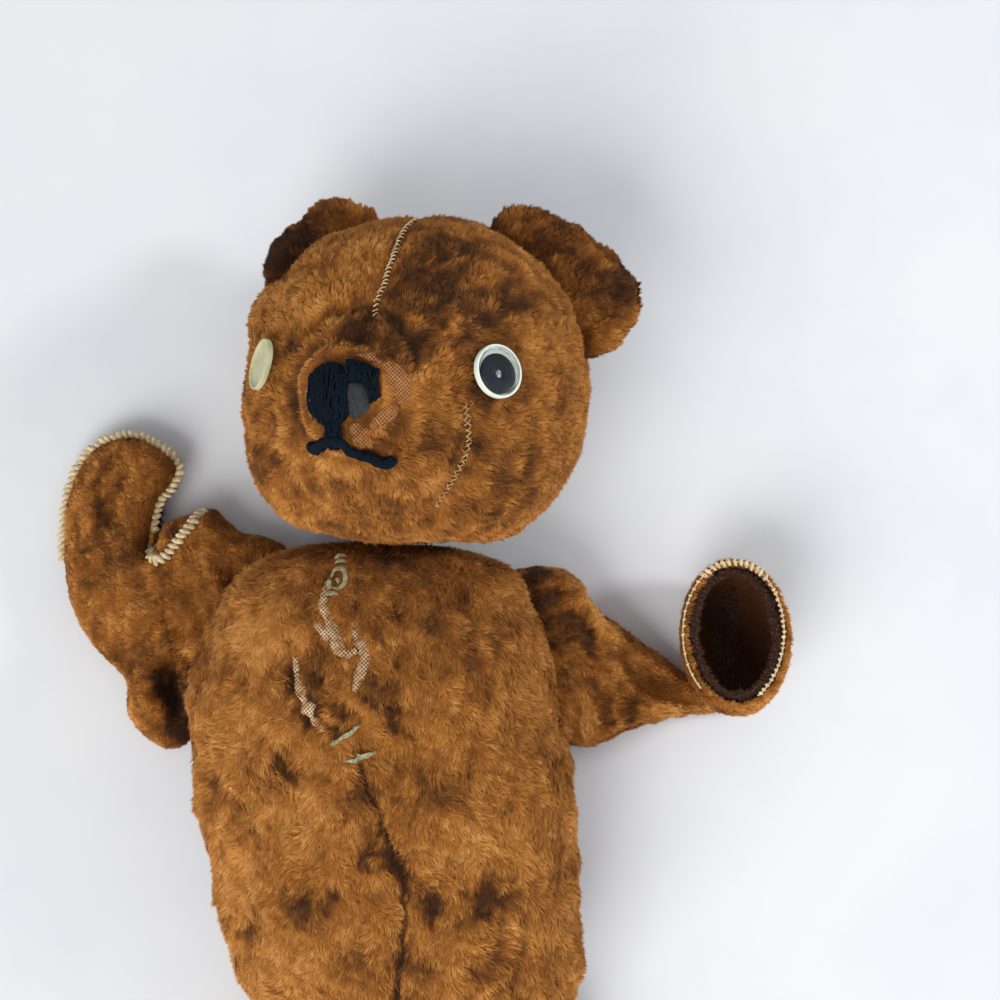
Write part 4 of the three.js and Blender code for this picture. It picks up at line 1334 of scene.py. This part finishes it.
RIGHT_FOLDS = [
    ([(-112, -47), (-120, -53), (-131, -63), (-137, -67)], 3.6, 2.2),
    ([(-113, -54), (-119, -60), (-121, -68), (-118, -84)], -9.0, 3.6),
    ([(-130, -68), (-131, -78), (-127, -88)], 2.4, 3.0),
    ([(-128, -24), (-134, -34), (-142, -44)], -1.8, 2.6),
    ([(-106, -12), (-104, -26), (-100, -40)], 1.6, 3.2),
    ([(-97, -20), (-97, -32), (-93, -44)], -2.0, 2.2),
    ([(-118, -36), (-128, -42), (-140, -50)], 1.4, 2.6),
    ([(-137, 12), (-140, 0), (-143, -14)], -1.4, 2.6),
    ([(-150, 8), (-148, -8), (-150, -26)], 1.6, 3.0),
]
# Stains on the right sleeve. The four darkest, along the deep furrow (x -116 to -124, y -64 to -84), are
# painted shade.
RIGHT_ARM_STAINS_AND_SHADE = [(-140, -20, 16, 0.4), (-146, -4, 10, 0.35), (-112, -34, 12, 0.2), (-128, -52, 10, 0.3),
                    (-119, -12, 6, 0.55), (-116, -64, 6, 1.0), (-118, -74, 8, 1.0), (-117, -84, 7, 0.9),
                    (-124, -70, 6, 0.6), (-128, -77, 6, -0.6), (-136, -44, 10, -0.2), (-133, -76, 8, -0.3),
                    (-106, -12, 9, -0.15), (-139, -58, 8, 0.3)]


def dome_height(flat):
    """The crumpled sleeve is a low dome."""
    reach = (((flat - DOME_AT) / DOME_RADII) ** 2).sum(1)
    return DOME_HIGH * np.sqrt(np.clip(1 - reach, 0.1, 1))


right_sleeve = limp_sleeve("right_sleeve", RIGHT_OUTLINE, dome_height, RIGHT_FOLDS, 1.5, 91)
mark_seen(right_sleeve)
print("right sleeve", len(right_sleeve.data.polygons), "faces")


def right_arm_stain_and_shade(places, normals):
    return patchiness(to_bear(places), RIGHT_ARM_STAINS_AND_SHADE, 93)


cover(right_sleeve, ["right_arm_outer_panel", "right_arm_inner_panel"], 70000, 95, sleeve_comb,
      right_arm_stain_and_shade, visible_density, "plush_coat", plush_pile, plush_backing, length=1.8, width=0.42,
      lean=76.0)

# %% [markdown]
# ## Paw pads and soles
#
# These are of a dark velvet, nearly black brown, whose short pile still stands inside the curled paw.

# %% Pads
velvet_backing = backing_finish("velvet_backing", darker=0.42)
velvet_pile = Finish("velvet_pile", Roughness=0.9, Sheen_Weight=0.2)
# Each tuft of velvet is darker at its root, which is painted shade, and lighter at its tip.
velvet_tone = velvet_pile.attribute("tone") * 0.5 + velvet_pile.attribute("along") * 0.4
velvet_pile = velvet_pile.wear(Base_Color=velvet_pile.ramp(velvet_tone, [
    (0.0, (0.014, 0.004, 0.001)), (0.55, (0.080, 0.025, 0.007)), (1.0, (0.22, 0.085, 0.026))]))


def no_stain(places, normals):
    return np.zeros(len(places))


def upright_comb(places, normals):
    return np.tile([0.3, 0.2, 1.0], (len(places), 1))


PAD_CELL, SOLE_CELL = 0.0010, 0.0030 / 2.2
# Each pad's cell, in metres, and how many tufts it has. The curled paw's is the one that shows.
pads = {
    "left_paw_pad": (PAD_CELL, 24000),
    "right_paw_pad": (PAD_CELL, 5000),
    "left_foot_pad": (SOLE_CELL, 8000),
    "right_foot_pad": (SOLE_CELL, 8000),
}
for index, (pad, (cell, count)) in enumerate(pads.items()):
    skin = skin_from(pad.replace("_pad", "_velvet"), pad, cell)
    apply_modifier(skin, "SMOOTH", factor=0.5, iterations=3)
    mark_seen(skin)
    cover(skin, [pad], count, 101 + index, upright_comb, no_stain, even_density, "paw_cloth", velvet_pile,
          velvet_backing, length=1.8, width=0.4, lean=40.0, clump=1.8)


# %% Leg skins
for index, side in enumerate(("left", "right")):
    skin = stuffed_skin(f"{side}_leg_plush", f"{side}_leg_stuffing", BODY_CELL, BODY_SWELL,
                        lambda places, seed=111 + index: sculpt_leg(places, seed))
    nodes = [f"{side}_leg_outer_panel", f"{side}_leg_inner_panel", f"{side}_leg_stuffing"]
    cover(skin, nodes, 42000, 115 + index, leg_comb, leg_stain_and_shade, body_density, "plush_coat", plush_pile,
          plush_backing, length=2.6, width=0.6)


# %% [markdown]
# ## Threads
#
# Wool and sewing thread are real strands here. A strand is a tube along a path that is laid on the skin
# below it; a yarn is several strands twisted round each other. The paths are drawn flat, and dropped onto
# the skin.

# %% Thread helpers
ABOVE = 250  # millimetres over the drawing, from where a line is dropped
BESIDE = 30  # the height at which the skin is sought where a drop misses it
STRAND_TIP = 0.7  # how pointed a strand's end is, as a share of its radius


class Ground:
    """A skin seen along one direction, on which flat drawings are laid."""

    def __init__(self, skin, to_frame):
        self.tree = BVHTree.FromObject(skin, bpy.context.evaluated_depsgraph_get())
        self.to_frame = to_frame
        self.up = unit(to_frame([0, 0, 1]) - to_frame([0, 0, 0]))[0]

    def lay(self, points, lift):
        """Points over the skin, in metres: lift is in millimetres, one number or one for each point."""
        lifts = np.broadcast_to(lift, len(points))
        laid = []
        for (x, y), height in zip(points, lifts):
            start = self.to_frame([x, y, ABOVE])[0]
            place, normal, _, _ = self.tree.ray_cast(Vector(start), Vector(-self.up))
            if place is None:
                beside = self.to_frame([x, y, BESIDE])[0]
                place, normal, _, _ = self.tree.find_nearest(Vector(beside))
            laid.append(np.array(place) + np.array(normal) * height * MM)
        return np.array(laid)


def strand(path, radius, sides=6):
    """Rings of a round strand along a path, closed to points at both ends: places and faces."""
    path = np.asarray(path)
    count = len(path)
    radius = np.broadcast_to(radius, count) * MM
    tangent = unit(np.gradient(path, axis=0))
    side = np.cross(tangent[0], [0.13, 0.31, 0.94])
    frames = []
    for direction in tangent:
        side = side - direction * (side @ direction)
        side = side / max(np.linalg.norm(side), TINY)
        frames.append((side, np.cross(direction, side)))
    angles = np.linspace(0, 2 * math.pi, sides, endpoint=False)
    cosines, sines = np.cos(angles)[:, None], np.sin(angles)[:, None]
    rings = [middle + r * (cosines * right + sines * up)
             for middle, r, (right, up) in zip(path, radius, frames)]
    start = path[:1] - tangent[:1] * radius[0] * STRAND_TIP
    end = path[-1:] + tangent[-1:] * radius[-1] * STRAND_TIP
    points = np.vstack([*rings, start, end])
    faces = []
    for i in range(count - 1):
        for j in range(sides):
            k = (j + 1) % sides
            faces.append((i * sides + j, i * sides + k, (i + 1) * sides + k, (i + 1) * sides + j))
    first, last = count * sides, count * sides + 1
    for j in range(sides):
        k = (j + 1) % sides
        faces.append((first, k, j))
        faces.append((last, (count - 1) * sides + j, (count - 1) * sides + k))
    return points, faces


def mesh_of(name, parts):
    """One object of many small closed shapes."""
    points, faces = [], []
    start = 0
    for part_points, part_faces in parts:
        points.append(part_points)
        faces.extend(tuple(start + i for i in face) for face in part_faces)
        start += len(part_points)
    thing = new_piece(name, np.vstack(points), faces)
    thing.data.polygons.foreach_set("use_smooth", np.ones(len(faces), bool))
    print(name, "has", len(parts), "parts and", len(faces), "faces")
    return thing


def yarn(path, radius, plies, pitch, sides):
    """Strands twisted round one path; radius and pitch are in millimetres."""
    path = np.asarray(path)
    radius = np.broadcast_to(radius, len(path))
    tangent = unit(np.gradient(path, axis=0))
    side = unit(np.cross(tangent, [0.1, 0.2, 1.0]))
    up = np.cross(side, tangent)
    run = run_of(path) / MM
    parts = []
    for ply in range(plies):
        phase = 2 * math.pi * (run / pitch + ply / plies)
        offset = (np.cos(phase)[:, None] * side + np.sin(phase)[:, None] * up) * (radius * 0.5 * MM)[:, None]
        parts.append(strand(path + offset, radius * 0.62, sides))
    return parts


def bead_shape():
    """One whipped stitch: a small rounded grain, modelled once."""
    bpy.ops.object.select_all(action="DESELECT")
    bpy.ops.mesh.primitive_uv_sphere_add(segments=10, ring_count=7, radius=1)
    bead = bpy.context.object
    points = points_of(bead)
    points[:, 2] *= 1 + 0.15 * points[:, 0]
    faces = [tuple(face.vertices) for face in bead.data.polygons]
    bpy.data.objects.remove(bead)
    return points, faces


bead_points, bead_faces = bead_shape()


def bead(place, across, normal, size):
    """A bead at a place, its length along across; size is half its length, width and height, in mm."""
    length_axis = across / np.linalg.norm(across)
    up = normal - length_axis * (normal @ length_axis)
    up /= np.linalg.norm(up)
    width_axis = np.cross(up, length_axis)
    axes = np.stack([length_axis, width_axis, up])
    return place + (bead_points * np.asarray(size) * MM) @ axes, bead_faces


# %% Thread finishes
def thread_finish(name, dark, light, scale=700.0, roughness=0.8, sheen=0.2, specular=0.5):
    """Spun fibres, dark between and light on top."""
    finish = Finish(name, Roughness=roughness, Sheen_Weight=sheen, Specular_IOR_Level=specular)
    fibres = finish.noise(scale, 3.0)
    colour = finish.ramp(fibres, [(0.32, dark), (0.66, light)])
    normal = finish.bump(fibres, 0.0003, 0.7)
    return finish.wear(Base_Color=colour, Normal=normal)


navy_wool = thread_finish("navy_wool", (0.0006, 0.0022, 0.0052), (0.003, 0.010, 0.019), scale=1200.0,
                          roughness=0.85, sheen=0.0, specular=0.12)
grey_felt = thread_finish("grey_felt", (0.008, 0.009, 0.011), (0.034, 0.037, 0.042), scale=1500.0,
                          roughness=0.95, sheen=0.05)
cream_thread = thread_finish("cream_thread", (0.42, 0.30, 0.15), (0.80, 0.64, 0.38))
tan_thread = thread_finish("tan_thread", (0.26, 0.12, 0.03), (0.56, 0.33, 0.11))
green_thread = thread_finish("green_thread", (0.12, 0.115, 0.055), (0.42, 0.41, 0.24))


def sew(thing, nodes, finish):
    """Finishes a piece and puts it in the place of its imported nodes."""
    wear_finish(thing, finish)
    keep(thing, nodes)


# %% [markdown]
# ## The nose
#
# It was embroidered in dark wool, strand beside strand, over a pad of felt. The wool has worn off at the
# bear's left, where the grey felt now shows, and the stem of the mouth is carried down from it.

# %% Nose and mouth
head_ground = Ground(head_skin, on_head)
WOOL = 0.46
WOOL_STEPS = 9
WOOL_PITCH = 0.62
nose_rng = np.random.default_rng(131)


def wool_strand(x, top, bottom, lift):
    """One strand of the nose, from its top to its bottom, whose ends go down into the cloth."""
    t = np.linspace(0, 1, WOOL_STEPS)
    wander = nose_rng.normal(0, 0.24, WOOL_STEPS)
    line = np.stack([x + wander + 0.3 * (t - 0.5), top + (bottom - top) * t], 1)
    lifts = lift + 0.5 * np.sin(math.pi * t) + nose_rng.normal(0, 0.08)
    lifts[[0, -1]] -= 1.1
    return strand(head_ground.lay(line, lifts), WOOL * nose_rng.uniform(0.85, 1.15))


nose_parts = []
for layer_lift in (1.3, 2.1):
    # The whole half, on the bear's right.
    for x in np.arange(-11.2, 0.6, WOOL_PITCH):
        bow = ((x + 5.2) / 6.6) ** 2
        nose_parts.append(wool_strand(x, 0.6 - 3.0 * bow, -18.6 + 4.5 * bow, layer_lift))
    # The worn half: short strands over the felt, longer ones at its far edge.
    for x in np.arange(0.9, 11.4, WOOL_PITCH):
        bow = (x / 11.4) ** 2
        bottom = -5.2 - 0.8 * bow if x < 7.6 else -11.5 + 0.6 * (x - 7.6)
        nose_parts.append(wool_strand(x, 1.4 - 3.4 * bow, bottom, layer_lift - 0.1))
    # The stem of the mouth.
    for x in np.arange(-5.8, -1.2, 0.6):
        nose_parts.append(wool_strand(x, -15.5, -24.8 + 0.3 * nose_rng.uniform(), layer_lift - 0.1))
nose = mesh_of("nose_wool", nose_parts)
sew(nose, ["nose_embroidery"], navy_wool)

MOUTH_LINE = [
    (-14, -23.6), (-11.6, -24.4), (-8.6, -23.8), (-5.4, -22.8), (-2.0, -23.2), (1.6, -25.0), (5, -26.8),
    (8.6, -28.2), (11.4, -28.6), (13.2, -27.6),
]
MOUTH_STEPS = 44
mouth_path = head_ground.lay(smooth_line(MOUTH_LINE, MOUTH_STEPS), 1.9)
mouth_radius = 1.5 + 0.12 * np.sin(np.linspace(0, 9, MOUTH_STEPS))
mouth = mesh_of("mouth_wool", yarn(mouth_path, mouth_radius, plies=6, pitch=30.0, sides=8))
sew(mouth, ["mouth_stitch"], navy_wool)

FELT_AT, FELT_SIZE = (3.6, -10.2), (4.6, 5.6)
FELT_TURNS, FELT_RINGS = 28, 8


def felt_pad():
    """A worn felt pad, as rings from its middle to its edge, laid on the skin."""
    angles = np.linspace(0, 2 * math.pi, FELT_TURNS, endpoint=False)
    points, lifts = [], []
    for ring in range(1, FELT_RINGS + 1):
        r = ring / FELT_RINGS
        for angle in angles:
            wobble = 1 + 0.06 * math.sin(3 * angle + 1) + 0.04 * math.sin(7 * angle)
            points.append((FELT_AT[0] + FELT_SIZE[0] * r * wobble * math.cos(angle),
                           FELT_AT[1] + FELT_SIZE[1] * r * wobble * math.sin(angle)))
            lifts.append(2.0 - 1.6 * r**4)
    points.append(FELT_AT)
    lifts.append(2.05)
    faces = []
    for j in range(FELT_TURNS):
        k = (j + 1) % FELT_TURNS
        faces.append((len(points) - 1, j, k))
        for inner in range(0, (FELT_RINGS - 1) * FELT_TURNS, FELT_TURNS):
            outer = inner + FELT_TURNS
            faces.append((inner + j, outer + j, outer + k, inner + k))
    return head_ground.lay(points, np.array(lifts)), faces


felt = mesh_of("nose_felt", [felt_pad()])
sew(felt, ["nose_felt_patch"], grey_felt)

# %% [markdown]
# ## Seams and repairs
#
# A row of small cream rungs closes the crown seam, and tan stitches the cheek. Three repairs in thick green
# thread hold the chest. All are short strands, laid at their real pitch.

# %% Seam stitches
SEAM_STEPS = 200
CROWN_LINE = [(7.4, 51.5), (7.4, 47), (7.4, 42), (7.2, 34), (6.2, 27), (5.2, 21), (4.2, 16)]


def rungs(ground, line, pitch, length, radius, slant, lift, rng):
    """Short strands across a line, each bent over the seam."""
    points = smooth_line(line, SEAM_STEPS)
    run = run_of(points)
    parts = []
    for at in np.arange(pitch / 2, run[-1], pitch):
        index = int(np.searchsorted(run, at))
        heading = points[min(index + 2, SEAM_STEPS - 1)] - points[max(index - 2, 0)]
        turn = math.atan2(heading[1], heading[0]) + math.pi / 2 + slant + rng.normal(0, 0.08)
        across = np.array([math.cos(turn), math.sin(turn)]) * length / 2 * rng.uniform(0.8, 1.1)
        t = np.linspace(-1, 1, 6)
        rung = points[index] + across * t[:, None]
        parts.append(strand(ground.lay(rung, lift - 0.9 * np.abs(t) ** 3), radius))
    return parts


seam_rng = np.random.default_rng(141)
crown_parts = rungs(head_ground, CROWN_LINE, pitch=1.35, length=2.2, radius=0.21, slant=0.5, lift=1.2,
                    rng=seam_rng)
crown = mesh_of("crown_stitches", crown_parts)
sew(crown, ["crown_seam_thread"], cream_thread)

cheek_parts = rungs(head_ground, CHEEK_SEAM, pitch=1.7, length=2.3, radius=0.24, slant=0.8, lift=1.1,
                    rng=seam_rng)
cheek_parts += rungs(head_ground, CHEEK_SEAM, pitch=2.4, length=2.2, radius=0.22, slant=-0.7, lift=1.2,
                     rng=seam_rng)
cheek = mesh_of("cheek_stitches", cheek_parts)
sew(cheek, ["cheek_seam_thread"], tan_thread)

# %% Chest repairs
body_ground = Ground(body_skin, on_bear)
REPAIR_STEPS, REPAIR_STRANDS = 18, 4


def aside_of(points):
    """The direction to the left of a flat line, at each of its points."""
    heading = unit(np.gradient(points, axis=0))
    return np.stack([-heading[:, 1], heading[:, 0]], 1)


def repair(name, lines, width, seed):
    """A few thick strands side by side along each line, tapered at both ends."""
    rng = np.random.default_rng(seed)
    t = np.linspace(0, 1, REPAIR_STEPS)
    arch = np.sin(math.pi * t)
    parts = []
    for line in lines:
        points = smooth_line(line, REPAIR_STEPS)
        for offset in np.linspace(-width / 2, width / 2, REPAIR_STRANDS):
            spread = offset * np.sin(math.pi * np.clip(t, 0.06, 0.94)) + rng.normal(0, 0.06)
            path = body_ground.lay(points + aside_of(points) * spread[:, None], 1.3 + 0.9 * arch)
            parts.append(strand(path, 0.3 * (0.6 + 0.4 * arch)))
    return mesh_of(name, parts)


# The first repair is a ring of thread, with short stitches round it.
REPAIR_TOP = [
    [(-56, -26.4), (-54.4, -24.2), (-51.8, -24.8), (-51.6, -28), (-53.6, -30), (-56, -29.4)],
    [(-56.4, -27), (-56.2, -30)], [(-55.4, -20.6), (-52, -19.8)], [(-55, -22.2), (-51.6, -21.8)],
    [(-57.4, -32), (-53.6, -31.8)], [(-54, -26.6), (-53.6, -28.2)],
]
REPAIRS = {
    "chest_repair_top": (REPAIR_TOP, 0.7, 151),
    "chest_repair_middle": ([REPAIR_MIDDLE], 1.3, 152),
    "chest_repair_low": ([REPAIR_LOW], 1.4, 153),
}
for name, (lines, width, seed) in REPAIRS.items():
    piece = repair(name.replace("repair", "darn"), lines, width, seed)
    sew(piece, [name], green_thread)


# %% [markdown]
# ## Bare backing
#
# Round the repairs the pile has gone in narrow strips, and the woven net shows: cream threads with dark
# holes. Each strip is a narrow band of net laid on the skin, with the pile kept off it.


# %% Bare strips
def net_finish(name, pitch, thread, dirty, dark):
    """Pale threads with dark holes between them."""
    finish = Finish(name, Roughness=0.95)
    wander = finish.noise(330.0, 3.0) * 5.0
    turn = 2 * math.pi / pitch
    waves_x, waves_y = ((finish.along(axis) * turn + wander).sine() for axis in (0, 1))
    lost = finish.noise(700.0, 2.0) * 1.8
    hole = (waves_x * waves_y * 1.8 - 0.9 + lost).clamped()
    dirt = (finish.noise(420.0, 3.0) * 3.2 - 1.15).clamped()
    cream = finish.blend(dirt, thread, dirty)
    colour = finish.blend(hole, cream, dark)
    return finish.wear(Base_Color=colour, Normal=finish.bump(1 - hole, 0.0003))


chest_net = net_finish("chest_net", pitch=0.0013, thread=(0.66, 0.46, 0.27), dirty=(0.30, 0.13, 0.04),
                       dark=(0.13, 0.048, 0.014))
muzzle_net = net_finish("muzzle_net", pitch=0.0012, thread=(0.42, 0.175, 0.050),
                        dirty=(0.24, 0.085, 0.016), dark=(0.13, 0.042, 0.009))


BAND_STEPS, BAND_ROWS = 36, 5
BAND_WIDER, BAND_RAGGED = 1.6, 0.38  # a strip is this much wider than drawn, and its edges wander


def band(ground, line, widths, lift):
    """A narrow band of cloth along a line: places and faces."""
    steps, rows = BAND_STEPS, BAND_ROWS
    points = smooth_line(line, steps)
    aside = aside_of(points)
    width = np.interp(np.linspace(0, 1, steps), np.linspace(0, 1, len(widths)), widths)
    width = BAND_WIDER * width * (1 + BAND_RAGGED * waves(np.column_stack([points, width]), 4.0, 171))
    flat, lifts = [], []
    for row in np.linspace(-0.5, 0.5, rows):
        flat.append(points + aside * (row * width)[:, None])
        lifts.append(np.full(steps, lift - 1.2 * (2 * row) ** 4))
    laid = ground.lay(np.vstack(flat), np.concatenate(lifts))
    faces = [(i * steps + j, i * steps + j + 1, (i + 1) * steps + j + 1, (i + 1) * steps + j)
             for i in range(rows - 1) for j in range(steps - 1)]
    return laid, faces


def sew_bare(name, ground, strips, finish, lift):
    """The bare strips of one skin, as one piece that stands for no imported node."""
    piece = mesh_of(name, [band(ground, line, widths, lift) for line, widths in strips])
    wear_finish(piece, finish)
    keep(piece, [])


sew_bare("chest_bare_strips", body_ground, BODY_BARE, chest_net, 0.9)
sew_bare("muzzle_bare_strips", head_ground, HEAD_BARE, muzzle_net, 0.7)

# %% [markdown]
# ## Whipped paw edges
#
# The pad of each paw is sewn in with thick cream thread, whipped over the edge, so that it reads as a row
# of slanted grains. One grain is modelled, and copied at its real pitch along each edge.

# %% Paw edges
UPRIGHT = np.array([0, 0, 1.0])


def whipped(edge, pitch, size, slant, rng):
    """Beads along an edge, in metres, each leaning by the slant."""
    run = run_of(edge) / MM
    tangent = unit(np.gradient(edge, axis=0))
    parts = []
    for at in np.arange(pitch / 2, run[-1], pitch):
        place, along = at_run(at, run, edge), at_run(at, run, tangent)
        out = np.cross(along, UPRIGHT)
        lean = out * math.cos(slant) + along * math.sin(slant)
        scale = rng.uniform(0.88, 1.12, 3)
        jitter = rng.normal(0, 0.12, 3) * MM
        parts.append(bead(place + jitter, lean, UPRIGHT + 0.3 * out, np.array(size) * scale))
    return parts


edge_rng = np.random.default_rng(161)
RIM_STEPS = 120
CORE_DROP = 0.0008  # how far the thread under the grains lies below them
SMOOTHED = 13  # how many points of the edge its height is smoothed over
sleeve_ground = Ground(right_sleeve, on_bear)
right_path = sleeve_ground.lay(smooth_line(RIGHT_EDGE, 260), 1.0)
held = np.pad(right_path[:, 2], SMOOTHED // 2, mode="edge")
right_path[:, 2] = np.convolve(held, np.ones(SMOOTHED) / SMOOTHED, mode="valid")
right_parts = whipped(right_path, pitch=2.3, size=(2.3, 1.08, 1.25), slant=0.45, rng=edge_rng)
right_parts += [strand(right_path - [0, 0, CORE_DROP], 0.9)]
right_edge = mesh_of("right_paw_whipping", right_parts)
sew(right_edge, ["right_paw_edging"], cream_thread)


def cup_rim(inset, raise_by, first, last):
    """Part of the curled paw's rim, between two angles in degrees: an ellipse on its sloping plane."""
    shrink = math.sqrt(1 - (CUP_RIM_HEIGHT / CUP_RADII[2]) ** 2)
    angles = np.radians(np.linspace(first, last, RIM_STEPS))
    long, wide = CUP_RADII[0] * shrink - inset, CUP_RADII[1] * shrink - inset
    height = np.full(RIM_STEPS, CUP_RIM_HEIGHT + raise_by)
    flat = np.stack([np.cos(angles) * long, np.sin(angles) * wide, height], 1)
    return on_bear(flat @ np.array(CUP_SLOPE).T + CUP_AT)


# The thread is thick at the top of the rim, and worn thin round the rest. Each row is two angles in
# degrees, the size of a grain and the pitch.
RIM_STITCHES = [(48, 132, (1.7, 0.75, 0.8), 2.1), (132, 185, (0.8, 0.5, 0.5), 2.9),
                (-60, 48, (0.8, 0.6, 0.5), 2.0), (185, 232, (0.6, 0.4, 0.4), 4.0)]
rim_parts = []
for first, last, size, pitch in RIM_STITCHES:
    rim_parts += whipped(cup_rim(1.0, 0.7, first, last), pitch, size, 0.35, edge_rng)
rim_parts += [strand(cup_rim(0.9, 0.4, -60, 232), 0.3)]
left_edge = mesh_of("left_paw_whipping", rim_parts)
sew(left_edge, ["left_paw_edging"], cream_thread)

# %% [markdown]
# ## Eyes
#
# They are cheap googly eyes: a white cup, a loose black disc and a clear dome. The right one has lost its
# disc and dome, so only the yellowed cup is left, with its rim. Each part is a profile turned about the
# eye's own axis.


# %% Eyes
TURN_STEPS = 56
POLE_MERGE = 1e-6
SHARP = math.radians(35)


def turned(name, profile, place, facing):
    """A profile of radius and height pairs, in mm, turned about an axis that faces a direction."""
    edges = [(i, i + 1) for i in range(len(profile) - 1)]
    thing = new_piece(name, [(r * MM, 0, h * MM) for r, h in profile], [], edges)
    apply_modifier(thing, "SCREW", axis="Z", steps=TURN_STEPS, render_steps=TURN_STEPS,
                   use_merge_vertices=True, merge_threshold=POLE_MERGE)
    mend(thing, merge=2 * POLE_MERGE)
    bpy.ops.object.shade_smooth_by_angle(angle=SHARP)
    turn = Vector(facing).to_track_quat("Z", "Y").to_matrix().to_4x4()
    thing.data.transform(Matrix.Translation(Vector(place)) @ turn)
    return thing


def middle_of(node):
    low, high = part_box(node)
    return (low + high) / 2


def facing(degrees, lift):
    """A direction out of the face: degrees from straight up to the bear's left, and a lift to the crown."""
    angle = math.radians(degrees)
    return Vector((math.sin(angle), lift, math.cos(angle))).normalized()


PUPIL_RADIUS = 6.5
CUP_PROFILE = [(0, -1), (7.9, -1), (8.4, -0.6), (8.5, 0.6), (8.35, 1.1), (8.0, 1.25), (7.65, 1.1), (7.5, 0.5),
               (7.4, -0.3), (0, -0.4)]
DISH_PROFILE = [(0, -1), (7.9, -1), (8.4, -0.6), (8.5, 0.5), (8.3, 1.0), (7.9, 1.05), (7.5, 0.7), (7.1, 0.2),
                (5, -0.05), (0, -0.15)]
DISC_PROFILE = [(0, -0.3), (PUPIL_RADIUS - 0.2, -0.3), (PUPIL_RADIUS, -0.1), (PUPIL_RADIUS, 0.2),
                (PUPIL_RADIUS - 0.2, 0.35), (0, 0.35)]
DOME_OUT = [(7.35 * math.cos(a), 0.75 + 2.3 * math.sin(a)) for a in np.linspace(0, math.pi / 2, 9)]
DOME_IN = [(r * 0.93, h - 0.35) for r, h in DOME_OUT]

eye_white = Finish("eye_white", Roughness=0.3, Coat_Weight=0.3)
yellowing = eye_white.noise(300.0, 3.0)
eye_white = eye_white.wear(Base_Color=eye_white.ramp(yellowing, [
    (0.3, (0.68, 0.74, 0.60)), (0.7, (0.80, 0.87, 0.76))]))
eye_olive = Finish("eye_olive", Roughness=0.4, Coat_Weight=0.15)
ageing = eye_olive.noise(170.0, 4.0)
eye_olive = eye_olive.wear(Base_Color=eye_olive.ramp(ageing, [
    (0.3, (0.40, 0.37, 0.19)), (0.7, (0.56, 0.55, 0.31))]))
eye_black = Finish("eye_black", Roughness=0.5, Specular_IOR_Level=0.15)
# The pale blue-grey mottling of the pupil is a painted reflection on its gloss.
reflection_mottle = eye_black.noise(420.0, 4.0)
eye_black = eye_black.wear(Base_Color=eye_black.ramp(reflection_mottle, [
    (0.42, (0.0005, 0.001, 0.003)), (0.64, (0.006, 0.010, 0.022)), (0.8, (0.05, 0.065, 0.09))]))
eye_clear = Finish("eye_clear", Roughness=0.03, Transmission_Weight=1.0, IOR=1.18)
eye_clear.shader.inputs["Base Color"].default_value = (0.96, 0.98, 1.0, 1)
eye_clear = eye_clear.material

LEFT_EYE_NUDGE = Vector((-0.0008, 0.0, 0.0))
RIGHT_EYE_NUDGE = Vector((0.0016, 0.0, 0.0006))
PUPIL_SLIPPED = Vector((-0.0001, -0.0009, 0.0))
PUPIL_LIFT = 0.0003
left_facing = facing(35, 0.13)
left_place = middle_of("left_eye_case") + LEFT_EYE_NUDGE
cup = turned("left_eye_cup", CUP_PROFILE, left_place, left_facing)
sew(cup, ["left_eye_case"], eye_white)
pupil_place = left_place + PUPIL_SLIPPED + left_facing * PUPIL_LIFT
disc = turned("left_eye_disc", DISC_PROFILE, pupil_place, left_facing)
sew(disc, ["left_eye_pupil"], eye_black)
dome = turned("left_eye_dome", DOME_OUT + DOME_IN[::-1] + DOME_OUT[:1], left_place, left_facing)
sew(dome, ["left_eye_lens"], eye_clear)
right_place = middle_of("right_eye_case") + RIGHT_EYE_NUDGE
dish = turned("right_eye_dish", DISH_PROFILE, right_place, facing(-62, 0.2))
sew(dish, ["right_eye_case"], eye_olive)

# %% [markdown]
# ## Ride and count
#
# Every piece rides on the bear's one body, and the faces of all the pieces are counted.

# %% Ride, measure and finish
for piece, nodes in kept.items():
    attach(piece, "root")
    if nodes:
        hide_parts(*nodes)
total = sum(len(piece.data.polygons) for piece in kept)
print(len(kept), "pieces with", total, "faces")
